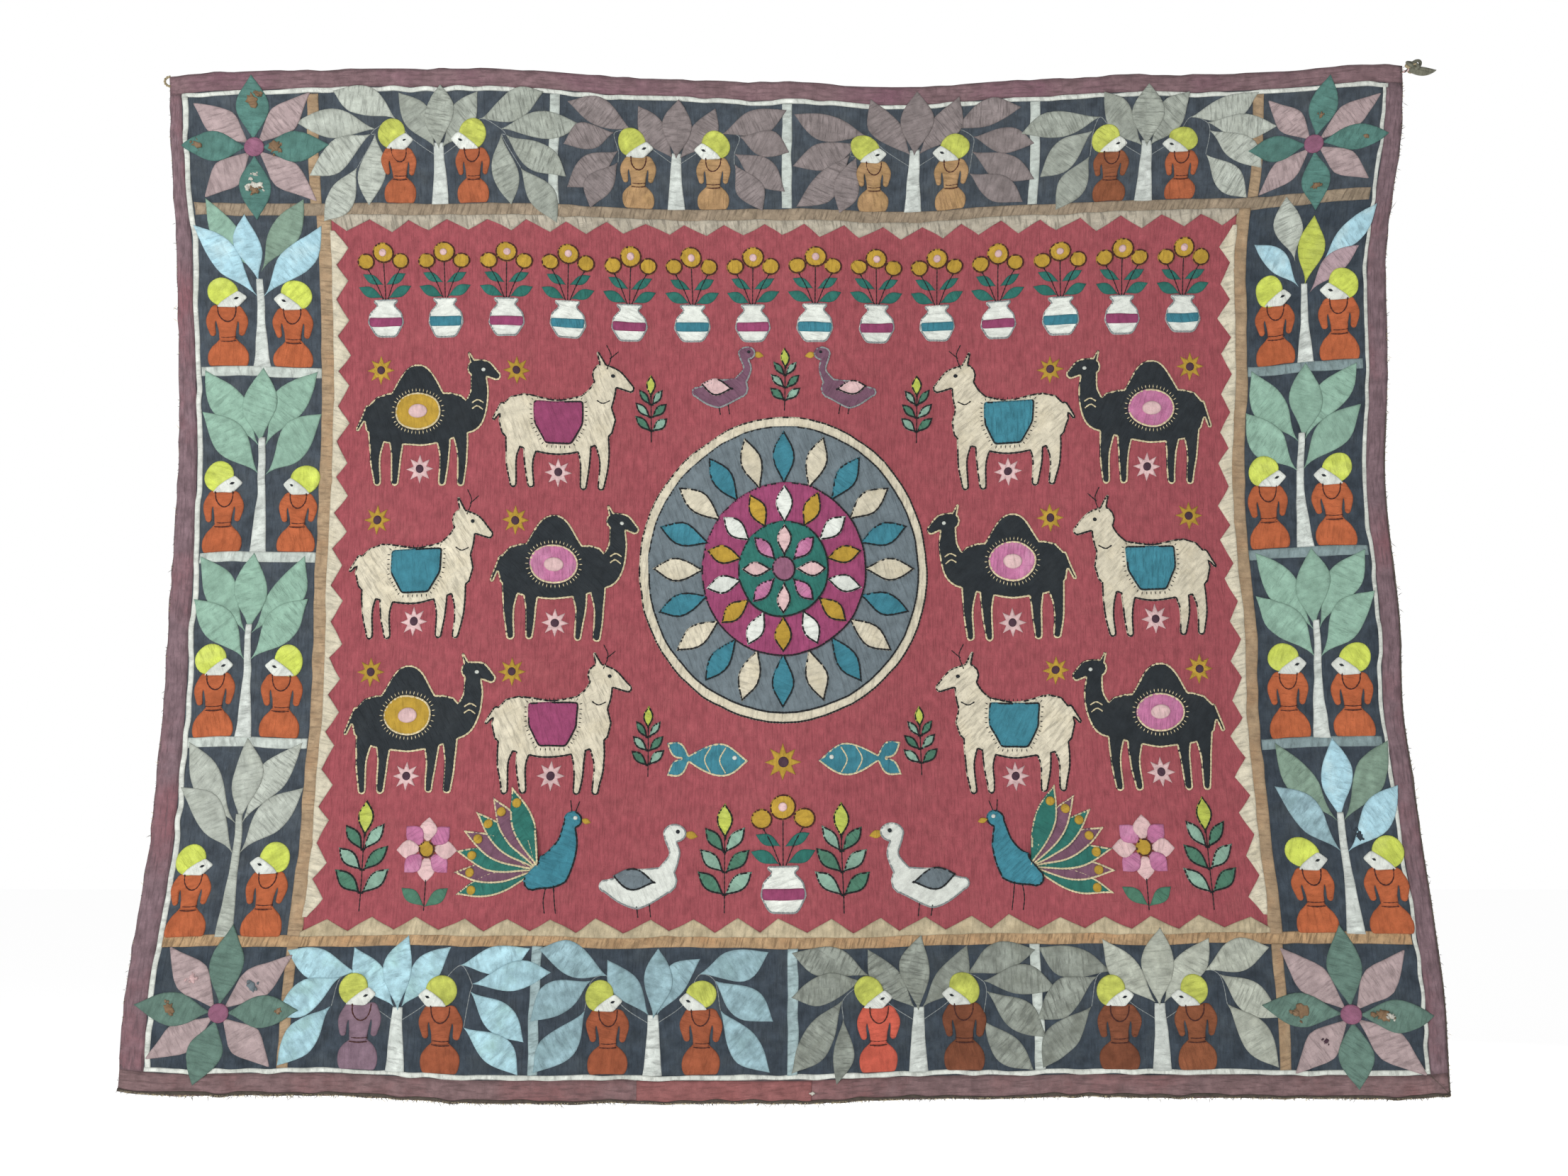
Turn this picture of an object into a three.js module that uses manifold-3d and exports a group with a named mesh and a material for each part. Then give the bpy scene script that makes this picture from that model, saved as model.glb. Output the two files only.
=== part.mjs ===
// A patchwork shrine cloth, hung face on by its two top corners. Sizes are in millimetres.
// +X is the viewer's right, +Y points away from the viewer and +Z is up.
// The origin is the middle of the top edge. Every piece is an outline cut flat, placed by its distance
// across the cloth from the middle and down from the top edge, and then hung with the tables below.
import * as THREE from "three";
import { mergeVertices } from "three/addons/utils/BufferGeometryUtils.js";
import Module from "manifold-3d";

const wasm = await Module();
wasm.setup();

// Cut size of the cloth, and the widths of its strips from the edge inwards
const WIDTH = 1652;
const HEIGHT = 1311;
const HALF = WIDTH / 2;
const ROWS = {
  top: { binding: 25, piping: 6, panel: 144, tape: 15 },
  bottom: { binding: 28, piping: 6, panel: 153, tape: 13 },
};
const SIDE = { binding: 31, piping: 7, panel: 154, tape: 16 };
const BAR_WIDTH = 13;

// Clear space between neighbouring pieces
const GAP = 0.3;

// Each layer's back and front face, measured forward from the ground cloth's front
const LAYERS = {
  ground: { back: -1.2, front: 0 },
  binding: { back: -1.6, front: 0.4 },
  strip: { back: 0.3, front: 1.3 },
  motif: { back: 1.6, front: 2.6 },
  crest: { back: 2.9, front: 3.9 },
};

// How far the side edges hang from the middle, at distances down the cloth
const EDGES = [
  { down: 0, left: 812, right: 819 },
  { down: 120, left: 805, right: 811 },
  { down: 260, left: 793, right: 788 },
  { down: 420, left: 783, right: 784 },
  { down: 560, left: 781, right: 775 },
  { down: 720, left: 786, right: 786 },
  { down: 860, left: 789, right: 788 },
  { down: 1000, left: 800, right: 804 },
  { down: 1200, left: 822, right: 824 },
  { down: 1311, left: 826, right: 827 },
];

// How far the top edge, the field's upper and lower edges and the hem hang below straight lines
const SAGS = [
  { across: -826, top: -10, upper: -13, lower: 2, hem: -12 },
  { across: -760, top: -17, upper: -14, lower: 1, hem: -6 },
  { across: -540, top: -21, upper: -15, lower: 0, hem: -3 },
  { across: -370, top: -20, upper: -12, lower: 0, hem: 4 },
  { across: -190, top: -11, upper: -7, lower: 2, hem: 6 },
  { across: 0, top: 0, upper: -4, lower: 2, hem: 2 },
  { across: 130, top: 5, upper: -2, lower: 0, hem: -2 },
  { across: 300, top: -4, upper: -12, lower: -2, hem: -4 },
  { across: 440, top: -9, upper: -16, lower: -3, hem: -5 },
  { across: 570, top: -15, upper: -20, lower: -4, hem: -1 },
  { across: 780, top: -28, upper: -33, lower: -4, hem: 0 },
  { across: 826, top: -26, upper: -35, lower: -4, hem: -4 },
];

// Soft upright folds: where each runs, how far it spreads to either side and how far forward it stands,
// with the shares of that depth at the top edge and at the hem
const FOLDS = [
  { at: -790, spread: 80, depth: 9 },
  { at: -560, spread: 95, depth: -6 },
  { at: -370, spread: 110, depth: 9 },
  { at: -155, spread: 100, depth: -7 },
  { at: 50, spread: 90, depth: 12 },
  { at: 260, spread: 105, depth: -8 },
  { at: 478, spread: 120, depth: 9 },
  { at: 660, spread: 90, depth: -7 },
  { at: 790, spread: 75, depth: 8 },
];
const TOP_FOLD_SHARE = 0.6;
const HEM_FOLD_SHARE = 1.3;

// The hung surface bends at stations this far apart across and down, and reaches past the cut edges
const STATION_ACROSS = 75;
const STATION_DOWN = 110;
const SURFACE_MARGIN = 12;

// Depth of the cutters that carry an outline through the hung surface
const CUTTER_DEPTH = 200;

// Places of the bars between the border's panels
const BARS = {
  top: [-310, 3, 336],
  bottom: [-313, 11, 319],
  left: [399, 639, 872],
  right: [405, 640, 878],
};

// Sawtooth edging of the field
const TOOTH_TIP = 22;
const TOOTH_VALLEY = 6;
const TEETH = { top: 23, bottom: 21, left: 19, right: 18 };

// Corner flowers: petals on the axes and diagonals round a disc
const PETALS = 8;
const PETAL_LENGTH = 99;
const PETAL_WIDTH = 44;
const PETAL_START = 8;
const DISC_RADIUS = 12;
const DISC_SIDES = 12;

// How far each flower is sewn on below the middle of its square
const FLOWER_DROPS = { top_left: -2, top_right: 2, bottom_left: 9, bottom_right: 11 };

// A leaf's outline: shares of its length at which each side has a point
const LEAF_STEPS = [0.15, 0.38, 0.62, 0.85];

// Trees: trunk sizes, and leaves from stalk to tip as distances beside and above the tree's foot
const SIDE_TRUNK = { foot: 26, top: 6, height: 146 };
const SHORT_TRUNK = { foot: 26, top: 8, height: 118 };
const SIDE_CROWN = [
  { side: 0, up: 132, tipSide: 2, tipUp: 236, width: 45 },
  { side: 3, up: 134, tipSide: 71, tipUp: 233, width: 44 },
  { side: 3, up: 97, tipSide: 77, tipUp: 178, width: 45 },
];
const SHORT_CROWN = [
  { side: 0, up: 110, tipSide: -13, tipUp: 196, width: 38 },
  { side: 3, up: 130, tipSide: 66, tipUp: 214, width: 40 },
  { side: 3, up: 94, tipSide: 77, tipUp: 180, width: 45 },
];
const ROW_TRUNK = { foot: 23, top: 13, height: 78 };
const ROW_CROWN = [
  { side: 0, up: 70, tipSide: 4, tipUp: 157, width: 38 },
  { side: 3, up: 72, tipSide: 55, tipUp: 149, width: 31 },
];
const STEM_WIDTH = 3;
const STEM_START = [
  { side: 3, up: 60 },
  { side: 40, up: 86 },
];
const SPRAYS = {
  three: [
    { side: 57, up: 116, tipSide: 140, tipUp: 153, width: 37 },
    { side: 78, up: 113, tipSide: 148, tipUp: 66, width: 39 },
    { side: 84, up: 82, tipSide: 150, tipUp: 6, width: 39 },
  ],
  four: [
    { side: 60, up: 112, tipSide: 150, tipUp: 152, width: 36 },
    { side: 82, up: 108, tipSide: 150, tipUp: 92, width: 37 },
    { side: 85, up: 94, tipSide: 148, tipUp: 30, width: 36 },
    { side: 84, up: 60, tipSide: 132, tipUp: -3, width: 35 },
  ],
  five: [
    { side: 64, up: 112, tipSide: 144, tipUp: 151, width: 35 },
    { side: 86, up: 108, tipSide: 160, tipUp: 112, width: 36 },
    { side: 92, up: 98, tipSide: 150, tipUp: 38, width: 34 },
    { side: 95, up: 92, tipSide: 98, tipUp: -3, width: 34 },
    { side: 116, up: 50, tipSide: 150, tipUp: -18, width: 34 },
  ],
};

// The trees of each border in order: the cloth of their leaves, how far to the right of its panel's middle
// each stands, and in the rows their sprays on either hand
const TREES = {
  top: [
    { cloth: "leaf_grey", shift: -2, left: "five", right: "five" },
    { cloth: "leaf_mauve", shift: 8, left: "four", right: "four" },
    { cloth: "leaf_mauve", shift: 5, left: "five", right: "four" },
    { cloth: "leaf_grey", shift: 2, left: "three", right: "four" },
  ],
  bottom: [
    { cloth: "leaf_blue", shift: -20, left: "three", right: "four" },
    { cloth: "leaf_blue", shift: -14, left: "three", right: "three" },
    { cloth: "leaf_grey", shift: 4, left: "four", right: "four" },
    { cloth: "leaf_grey", shift: 1, left: "three", right: "three" },
  ],
  left: [
    { cloth: "leaf_blue", shift: -3 },
    { cloth: "leaf_sage", shift: 0 },
    { cloth: "leaf_sage", shift: -6 },
    { cloth: "leaf_grey", shift: -2 },
  ],
  right: [
    { cloth: "leaf_blue", shift: 1 },
    { cloth: "leaf_sage", shift: 2 },
    { cloth: "leaf_sage", shift: 6 },
    { cloth: "leaf_sage", shift: 10 },
  ],
};

// How far a tree's foot laps over the strip below it, a leaf over its stalk's end, and the space that a
// side tree's tip leaves below the foot of the tree above it
const FOOT_LAP = 1;
const STALK_LAP = 4;
const TIP_SPACE = 2;

// Cord loop at the top left corner, measured out from the cloth's edge and down from its corner
const CORD_DIAMETER = 3.2;
const CORD_SIDES = 8;
const LOOP_REACH = 7.5;
const LOOP_HALF_HEIGHT = 7;
const LOOP_MIDDLE = 10;
const LOOP_STEPS = 10;

// Knotted tie at the top right corner, measured out from the cloth's corner
const TIE_START_DOWN = 9;
const TIE_STEM_STEPS = 4;
const KNOT = { out: 15, up: 0, radius: 6.5 };
const KNOT_TURN = { radius: 6.2, tilt: 0.5 };
const KNOT_SIDES = { core: 8, coreRings: 6, turn: 10, turnSection: 5 };
const TAIL = { root: 10, tip: 44, tipDrop: 6.5, lowest: 20, thickness: 3, steps: 6 };

// Colours of the cloths and of the cord
const CLOTHS = {
  binding_mauve: 0x876b74,
  piping_white: 0xd4dad4,
  border_navy: 0x484f58,
  tape_tan: 0xb0906a,
  edging_cream: 0xd0c9b2,
  field_red: 0xa0505a,
  bar_white: 0xd0d6d2,
  bar_blue: 0x809294,
  leaf_sage: 0x92b4a2,
  leaf_blue: 0xa4c8d4,
  leaf_grey: 0xb0b4a8,
  leaf_mauve: 0x8f8484,
  petal_teal: 0x5e8a80,
  cord_beige: 0xa89c80,
};
const CLOTH_ROUGHNESS = 0.92;

const topIn = insets(ROWS.top);
const bottomIn = insets(ROWS.bottom);
const sideIn = insets(SIDE);
const seam = {
  side: HALF - sideIn.tape - SIDE.tape / 2,
  top: topIn.tape + ROWS.top.tape / 2,
  bottom: HEIGHT - bottomIn.tape - ROWS.bottom.tape / 2,
};

// Places down the cloth of the levels in the table of sags
const LEVELS = [
  { column: "top", down: 0 },
  { column: "upper", down: topIn.field },
  { column: "lower", down: HEIGHT - bottomIn.field },
  { column: "hem", down: HEIGHT },
];

const part = new THREE.Group();
const surfaces = {};
for (const name of ["strip", "motif", "crest"]) surfaces[name] = wholeSurface(LAYERS[name]);

addGround();
addBinding();
addPiping();
addTapes();
addSawtooth();
addBars();
addFlowers();
addTrees();
addLoop();
addTie();

export default part;

// Distances in from the edge at which the strips inside the binding start
function insets(strips) {
  const piping = strips.binding;
  const panel = piping + strips.piping;
  const tape = panel + strips.panel;
  return { piping, panel, tape, field: tape + strips.tape };
}

// Reads one column of a table at any place, on a smooth curve through its rows that ends with them
function readTable(rows, key, column, place) {
  const last = rows.length - 1;
  const at = THREE.MathUtils.clamp(place, rows[0][key], rows[last][key]);
  const slope = (i) => {
    const before = rows[Math.max(i - 1, 0)];
    const after = rows[Math.min(i + 1, last)];
    return (after[column] - before[column]) / (after[key] - before[key]);
  };
  const ahead = rows.findIndex((row) => row[key] > at);
  const i = THREE.MathUtils.clamp(ahead < 0 ? last - 1 : ahead - 1, 0, last - 1);
  const span = rows[i + 1][key] - rows[i][key];
  const t = (at - rows[i][key]) / span;
  const rise = t * t * (3 - 2 * t);
  const start = t * (1 - t) * (1 - t) * span * slope(i);
  const end = t * t * (1 - t) * span * slope(i + 1);
  return rows[i][column] * (1 - rise) + rows[i + 1][column] * rise + start - end;
}

// Reads a smooth shape as straight stretches from one station to the next
function faceted(shape, at, step) {
  const before = Math.floor(at / step) * step;
  return THREE.MathUtils.lerp(shape(before), shape(before + step), (at - before) / step);
}

// How far forward the folds stand at their full depth
function foldDepth(across) {
  const foldAt = ({ at, spread, depth }) => depth * Math.exp(-(((across - at) / spread) ** 2));
  return FOLDS.reduce((sum, fold) => sum + foldAt(fold), 0);
}

// How far a place hangs below straight lines, between the two levels on either side of it
function sagAt(across, down) {
  const next = LEVELS.findIndex((level) => level.down > down);
  const i = THREE.MathUtils.clamp(next < 0 ? LEVELS.length - 2 : next - 1, 0, LEVELS.length - 2);
  const [above, below] = LEVELS.slice(i, i + 2);
  const sag = ({ column }) =>
    faceted((place) => readTable(SAGS, "across", column, place), across, STATION_ACROSS);
  const share = THREE.MathUtils.clamp((down - above.down) / (below.down - above.down), 0, 1);
  return THREE.MathUtils.lerp(sag(above), sag(below), share);
}

// Where a place on the flat cloth hangs
function hang(across, down) {
  const edge = across < 0 ? "left" : "right";
  const reach = faceted((place) => readTable(EDGES, "down", edge, place), down, STATION_DOWN);
  const sag = faceted((level) => sagAt(across, level), down, STATION_DOWN);
  const foldShare = THREE.MathUtils.lerp(TOP_FOLD_SHARE, HEM_FOLD_SHARE, down / HEIGHT);
  const forward = faceted(foldDepth, across, STATION_ACROSS) * foldShare - foldDepth(0) * TOP_FOLD_SHARE;
  return new THREE.Vector3((across * reach) / HALF, -forward, -down - sag);
}

// A closed mesh with merged vertices as a solid that can be joined and cut
function solidOf(geometry) {
  geometry.deleteAttribute("normal");
  geometry.deleteAttribute("uv");
  const merged = mergeVertices(geometry);
  const mesh = new wasm.Mesh({
    numProp: 3,
    vertProperties: new Float32Array(merged.attributes.position.array),
    triVerts: new Uint32Array(merged.index.array),
  });
  return new wasm.Manifold(mesh);
}

function geometryOf(solid) {
  const mesh = solid.getMesh();
  const geometry = new THREE.BufferGeometry();
  geometry.setAttribute("position", new THREE.BufferAttribute(mesh.vertProperties, 3));
  geometry.setIndex(new THREE.BufferAttribute(mesh.triVerts, 1));
  geometry.computeVertexNormals();
  return geometry;
}

// A hung sheet between a layer's two faces, from its places across and down the flat cloth
function hungSheet(acrosses, downs, { back, front }) {
  const plane = new THREE.PlaneGeometry(1, 1, acrosses.length - 1, downs.length - 1);
  const count = plane.attributes.position.count;
  const points = [];
  for (const forward of [front, back]) {
    for (const down of downs) {
      for (const across of acrosses) {
        const place = hang(across, down);
        points.push(place.x, place.y - forward, place.z);
      }
    }
  }
  const triangles = [];
  const edges = new Map();
  for (let i = 0; i < plane.index.count; i += 3) {
    const corners = [0, 1, 2].map((k) => plane.index.getX(i + k));
    triangles.push(...corners, ...corners.toReversed().map((corner) => corner + count));
    corners.forEach((from, k) => {
      const to = corners[(k + 1) % 3];
      edges.set(`${from} ${to}`, [from, to]);
    });
  }
  for (const [from, to] of edges.values()) {
    if (edges.has(`${to} ${from}`)) continue;
    triangles.push(from, from + count, to, to, from + count, to + count);
  }
  const geometry = new THREE.BufferGeometry();
  geometry.setAttribute("position", new THREE.Float32BufferAttribute(points, 3));
  geometry.setIndex(triangles);
  geometry.computeVertexNormals();
  return geometry;
}

// A whole layer of the hung cloth, a little larger than the cut, for outlines to be cut from
function wholeSurface(layer) {
  const acrosses = stations(-HALF - SURFACE_MARGIN, HALF + SURFACE_MARGIN, STATION_ACROSS);
  const downs = stations(-SURFACE_MARGIN, HEIGHT + SURFACE_MARGIN, STATION_DOWN);
  return solidOf(hungSheet(acrosses, downs, layer));
}

// A flat outline, hung and carried through the cloth from front to back
function cutter(outline) {
  const hung = outline.map(([across, down]) => {
    const place = hang(across, down);
    return new THREE.Vector2(place.x, place.z);
  });
  const through = { depth: CUTTER_DEPTH, bevelEnabled: false };
  const geometry = new THREE.ExtrudeGeometry(new THREE.Shape(hung), through);
  geometry.rotateX(Math.PI / 2);
  geometry.translate(0, CUTTER_DEPTH / 2, 0);
  return solidOf(geometry);
}

function addMesh(name, geometry, cloth) {
  const material = new THREE.MeshStandardMaterial({
    color: CLOTHS[cloth],
    roughness: CLOTH_ROUGHNESS,
    metalness: 0,
  });
  const mesh = new THREE.Mesh(geometry, material);
  mesh.name = name;
  part.add(mesh);
}

// One piece of cloth in a layer, cut to the joined outlines
function addCutPiece(name, outlines, layer, cloth) {
  const cut = outlines.map(cutter).reduce((all, next) => all.add(next));
  addMesh(name, geometryOf(surfaces[layer].intersect(cut)), cloth);
}

// The ends of a straight edge and the stations between them
function stations(from, to, step) {
  const places = [from];
  for (let i = Math.floor(from / step) + 1; i * step < to - GAP; i++) {
    if (i * step > from + GAP) places.push(i * step);
  }
  return [...places, to];
}

// A rectangle of cloth, trimmed by half a gap all round
function addRectangle(name, { left, top, right, bottom }, layer, cloth) {
  const acrosses = stations(left + GAP / 2, right - GAP / 2, STATION_ACROSS);
  const downs = stations(top + GAP / 2, bottom - GAP / 2, STATION_DOWN);
  addMesh(name, hungSheet(acrosses, downs, LAYERS[layer]), cloth);
}

function addGround() {
  const edge = HALF - SIDE.binding;
  const { side, top, bottom } = seam;
  const rows = {
    top: { top: topIn.piping, bottom: top },
    bottom: { top: bottom, bottom: HEIGHT - bottomIn.piping },
  };
  const sides = {
    left: { left: -edge, right: -side },
    right: { left: side, right: edge },
  };
  addRectangle("field", { left: -side, top, right: side, bottom }, "ground", "field_red");
  for (const [name, row] of Object.entries(rows)) {
    addRectangle(`border_${name}`, { left: -edge, right: edge, ...row }, "ground", "border_navy");
  }
  for (const [name, column] of Object.entries(sides)) {
    addRectangle(`border_${name}`, { top, bottom, ...column }, "ground", "border_navy");
  }
}

// Four strips round the cloth between two insets from its edge, the top and bottom ones full length
function addFrame(name, out, within, layer, cloth) {
  const [left, right] = [-HALF + out.side, HALF - out.side];
  const [innerLeft, innerRight] = [-HALF + within.side, HALF - within.side];
  const [innerTop, innerBottom] = [within.top, HEIGHT - within.bottom];
  const strips = {
    top: { left, top: out.top, right, bottom: innerTop },
    bottom: { left, top: innerBottom, right, bottom: HEIGHT - out.bottom },
    left: { left, top: innerTop, right: innerLeft, bottom: innerBottom },
    right: { left: innerRight, top: innerTop, right, bottom: innerBottom },
  };
  for (const [border, strip] of Object.entries(strips)) {
    addRectangle(`${name}_${border}`, strip, layer, cloth);
  }
}

function addBinding() {
  const within = { side: sideIn.piping, top: topIn.piping, bottom: bottomIn.piping };
  addFrame("binding", { side: 0, top: 0, bottom: 0 }, within, "binding", "binding_mauve");
}

function addPiping() {
  const out = { side: sideIn.piping, top: topIn.piping, bottom: bottomIn.piping };
  const within = { side: sideIn.panel, top: topIn.panel, bottom: bottomIn.panel };
  addFrame("piping", out, within, "strip", "piping_white");
}

// The long tapes cross the whole border, and the upright ones butt against them
function addTapes() {
  const end = HALF - sideIn.panel;
  const [outer, inner] = [HALF - sideIn.tape, HALF - sideIn.field];
  const lines = {
    top: { left: -end, top: topIn.tape, right: end, bottom: topIn.field },
    bottom: { left: -end, top: HEIGHT - bottomIn.field, right: end, bottom: HEIGHT - bottomIn.tape },
  };
  const columns = { left: { left: -outer, right: -inner }, right: { left: inner, right: outer } };
  for (const [side, column] of Object.entries(columns)) {
    const [high, low] = [HEIGHT - bottomIn.tape, HEIGHT - bottomIn.panel];
    lines[side] = { ...column, top: topIn.field, bottom: HEIGHT - bottomIn.field };
    lines[`corner_top_${side}`] = { ...column, top: topIn.panel, bottom: topIn.tape };
    lines[`corner_bottom_${side}`] = { ...column, top: high, bottom: low };
  }
  for (const [name, line] of Object.entries(lines)) {
    addRectangle(`tape_${name}`, line, "strip", "tape_tan");
  }
}

// A toothed edging from start to end: its straight edge first, then its teeth on the way back
function toothed(start, end, step, count, place) {
  const straight = stations(start, end, step).map((along) => place(along, GAP / 2));
  const teeth = [];
  const pitch = (end - start) / count;
  for (let i = count; i > 0; i--) {
    teeth.push(place(start + i * pitch, TOOTH_VALLEY), place(start + (i - 0.5) * pitch, TOOTH_TIP));
  }
  return [...straight, ...teeth, place(start, TOOTH_VALLEY)];
}

function addSawtooth() {
  const [side, top, bottom] = [HALF - sideIn.field, topIn.field, HEIGHT - bottomIn.field];
  const [from, to] = [-side + GAP / 2, side - GAP / 2];
  const [high, low] = [top + TOOTH_TIP + GAP, bottom - TOOTH_TIP - GAP];
  const outlines = {
    top: toothed(from, to, STATION_ACROSS, TEETH.top, (along, deep) => [along, top + deep]),
    bottom: toothed(from, to, STATION_ACROSS, TEETH.bottom, (along, deep) => [along, bottom - deep]),
    left: toothed(high, low, STATION_DOWN, TEETH.left, (along, deep) => [-side + deep, along]),
    right: toothed(high, low, STATION_DOWN, TEETH.right, (along, deep) => [side - deep, along]),
  };
  for (const [name, outline] of Object.entries(outlines)) {
    addCutPiece(`sawtooth_${name}`, [outline], "strip", "edging_cream");
  }
}

function addBars() {
  const half = BAR_WIDTH / 2;
  const [outer, inner] = [HALF - sideIn.panel, HALF - sideIn.tape];
  const upright = (at) => ({ left: at - half, right: at + half });
  const level = (at) => ({ top: at - half, bottom: at + half });
  const bars = {
    top: (at) => ({ ...upright(at), top: topIn.panel, bottom: topIn.tape }),
    bottom: (at) => ({ ...upright(at), top: HEIGHT - bottomIn.tape, bottom: HEIGHT - bottomIn.panel }),
    left: (at) => ({ ...level(at), left: -outer, right: -inner }),
    right: (at) => ({ ...level(at), left: inner, right: outer }),
  };
  for (const [border, bar] of Object.entries(bars)) {
    const cloth = border === "right" ? "bar_blue" : "bar_white";
    BARS[border].forEach((at, i) => addRectangle(`bar_${border}_${i + 1}`, bar(at), "strip", cloth));
  }
}

// A pointed leaf from a little behind its stalk's end to its tip
function leaf(stalk, to, width) {
  const lap = STALK_LAP / Math.hypot(to[0] - stalk[0], to[1] - stalk[1]);
  const from = [stalk[0] - (to[0] - stalk[0]) * lap, stalk[1] - (to[1] - stalk[1]) * lap];
  const along = [to[0] - from[0], to[1] - from[1]];
  const length = Math.hypot(...along);
  const point = (t, side) => {
    const out = (side * width * Math.sin(Math.PI * t)) / (2 * length);
    return [from[0] + along[0] * t - along[1] * out, from[1] + along[1] * t + along[0] * out];
  };
  const there = LEAF_STEPS.map((t) => point(t, 1));
  const back = LEAF_STEPS.toReversed().map((t) => point(t, -1));
  return [from, ...there, to, ...back];
}

function addFlowers() {
  const out = HALF - sideIn.panel - SIDE.panel / 2;
  const high = topIn.panel + ROWS.top.panel / 2;
  const low = HEIGHT - bottomIn.panel - ROWS.bottom.panel / 2;
  const middles = {
    top_left: [-out, high + FLOWER_DROPS.top_left],
    top_right: [out, high + FLOWER_DROPS.top_right],
    bottom_left: [-out, low + FLOWER_DROPS.bottom_left],
    bottom_right: [out, low + FLOWER_DROPS.bottom_right],
  };
  const around = (middle, angle, radius) => [
    middle[0] + radius * Math.sin(angle),
    middle[1] - radius * Math.cos(angle),
  ];
  const turns = (count) => Array.from({ length: count }, (_, i) => (i * 2 * Math.PI) / count);
  for (const [name, middle] of Object.entries(middles)) {
    const disc = turns(DISC_SIDES).map((angle) => around(middle, angle, DISC_RADIUS));
    const petals = turns(PETALS).map((angle) =>
      leaf(around(middle, angle, PETAL_START), around(middle, angle, PETAL_LENGTH), PETAL_WIDTH),
    );
    const layer = middle[1] < HEIGHT / 2 ? "motif" : "crest";
    addCutPiece(`flower_${name}`, [disc, ...petals], layer, "petal_teal");
  }
}

// Turns a tree's own distances beside and above its foot into places on the cloth
function placeOnTree(foot, hand, size = 1) {
  return ({ side, up }) => [foot[0] + hand * size * side, foot[1] - size * up];
}

function trunk(foot, { foot: wide, top, height }, size = 1) {
  const place = placeOnTree(foot, 1, size);
  return [
    place({ side: -wide / 2, up: -FOOT_LAP }),
    place({ side: wide / 2, up: -FOOT_LAP }),
    place({ side: top / 2, up: height }),
    place({ side: -top / 2, up: height }),
  ];
}

// Leaves of a table on one hand of the tree
function leaves(foot, hand, rows, size = 1) {
  const place = placeOnTree(foot, hand, size);
  const tip = (row) => place({ side: row.tipSide, up: row.tipUp });
  return rows.map((row) => leaf(place(row), tip(row), size * row.width));
}

// A stem from the trunk past the stalk of each leaf in a spray, one narrow quad for each stretch
function stem(foot, hand, rows) {
  const places = [...STEM_START, ...rows].map((row) => placeOnTree(foot, hand)(row));
  return places.slice(1).map((to, i) => {
    const from = places[i];
    const share = STEM_WIDTH / 2 / Math.hypot(to[0] - from[0], to[1] - from[1]);
    const out = [(from[1] - to[1]) * share, (to[0] - from[0]) * share];
    return [
      [from[0] + out[0], from[1] + out[1]],
      [to[0] + out[0], to[1] + out[1]],
      [to[0] - out[0], to[1] - out[1]],
      [from[0] - out[0], from[1] - out[1]],
    ];
  });
}

function sideTree(foot, stock, crown, size) {
  const pairs = crown.slice(1);
  return [trunk(foot, stock, size), ...leaves(foot, 1, crown, size), ...leaves(foot, -1, pairs, size)];
}

function rowTree(foot, { left, right }) {
  const [centre, ...pairs] = ROW_CROWN;
  const hands = [
    [-1, SPRAYS[left]],
    [1, SPRAYS[right]],
  ];
  const stems = hands.flatMap(([hand, rows]) => stem(foot, hand, rows));
  const sprays = hands.flatMap(([hand, rows]) => leaves(foot, hand, [...pairs, ...rows]));
  return [trunk(foot, ROW_TRUNK), ...leaves(foot, 1, [centre]), ...stems, ...sprays];
}

// The panels of each border lie between its bars, with a tree near the middle of each
function addTrees() {
  const end = HALF - sideIn.field;
  const out = HALF - sideIn.panel - SIDE.panel / 2;
  const floors = { top: topIn.tape, bottom: HEIGHT - bottomIn.panel };
  for (const border of ["top", "bottom"]) {
    const ends = [-end, ...BARS[border], end];
    TREES[border].forEach((tree, i) => {
      const foot = [(ends[i] + ends[i + 1]) / 2 + tree.shift, floors[border]];
      addCutPiece(`tree_${border}_${i + 1}`, rowTree(foot, tree), "motif", tree.cloth);
    });
  }
  for (const [border, across] of Object.entries({ left: -out, right: out })) {
    const floor = [...BARS[border].map((at) => at - BAR_WIDTH / 2), HEIGHT - bottomIn.field];
    TREES[border].forEach((tree, i) => {
      const foot = [across + tree.shift, floor[i]];
      const [stock, crown] = i === 0 ? [SHORT_TRUNK, SHORT_CROWN] : [SIDE_TRUNK, SIDE_CROWN];
      const size = i === 0 ? 1 : (floor[i] - floor[i - 1] - TIP_SPACE) / SIDE_CROWN[0].tipUp;
      const outlines = sideTree(foot, stock, crown, size);
      addCutPiece(`tree_${border}_${i + 1}`, outlines, "motif", tree.cloth);
    });
  }
}

// The round section of a cord
function cordSection() {
  const radius = CORD_DIAMETER / 2;
  const points = Array.from({ length: CORD_SIDES }, (_, i) => {
    const turn = (i * 2 * Math.PI) / CORD_SIDES;
    return new THREE.Vector2(radius * Math.cos(turn), radius * Math.sin(turn));
  });
  return new THREE.Shape(points);
}

function cord(path, steps) {
  return new THREE.ExtrudeGeometry(cordSection(), { steps, bevelEnabled: false, extrudePath: path });
}

// Half an ellipse of cord, sewn to the cloth's edge at both ends
function addLoop() {
  const points = Array.from({ length: LOOP_STEPS + 1 }, (_, i) => {
    const turn = (i * Math.PI) / LOOP_STEPS;
    const place = hang(-HALF, LOOP_MIDDLE - LOOP_HALF_HEIGHT * Math.cos(turn));
    place.x -= GAP + LOOP_REACH * Math.sin(turn);
    return place;
  });
  const solid = solidOf(cord(new THREE.CatmullRomCurve3(points), LOOP_STEPS));
  addMesh("loop_left", geometryOf(solid), "cord_beige");
}

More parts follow.
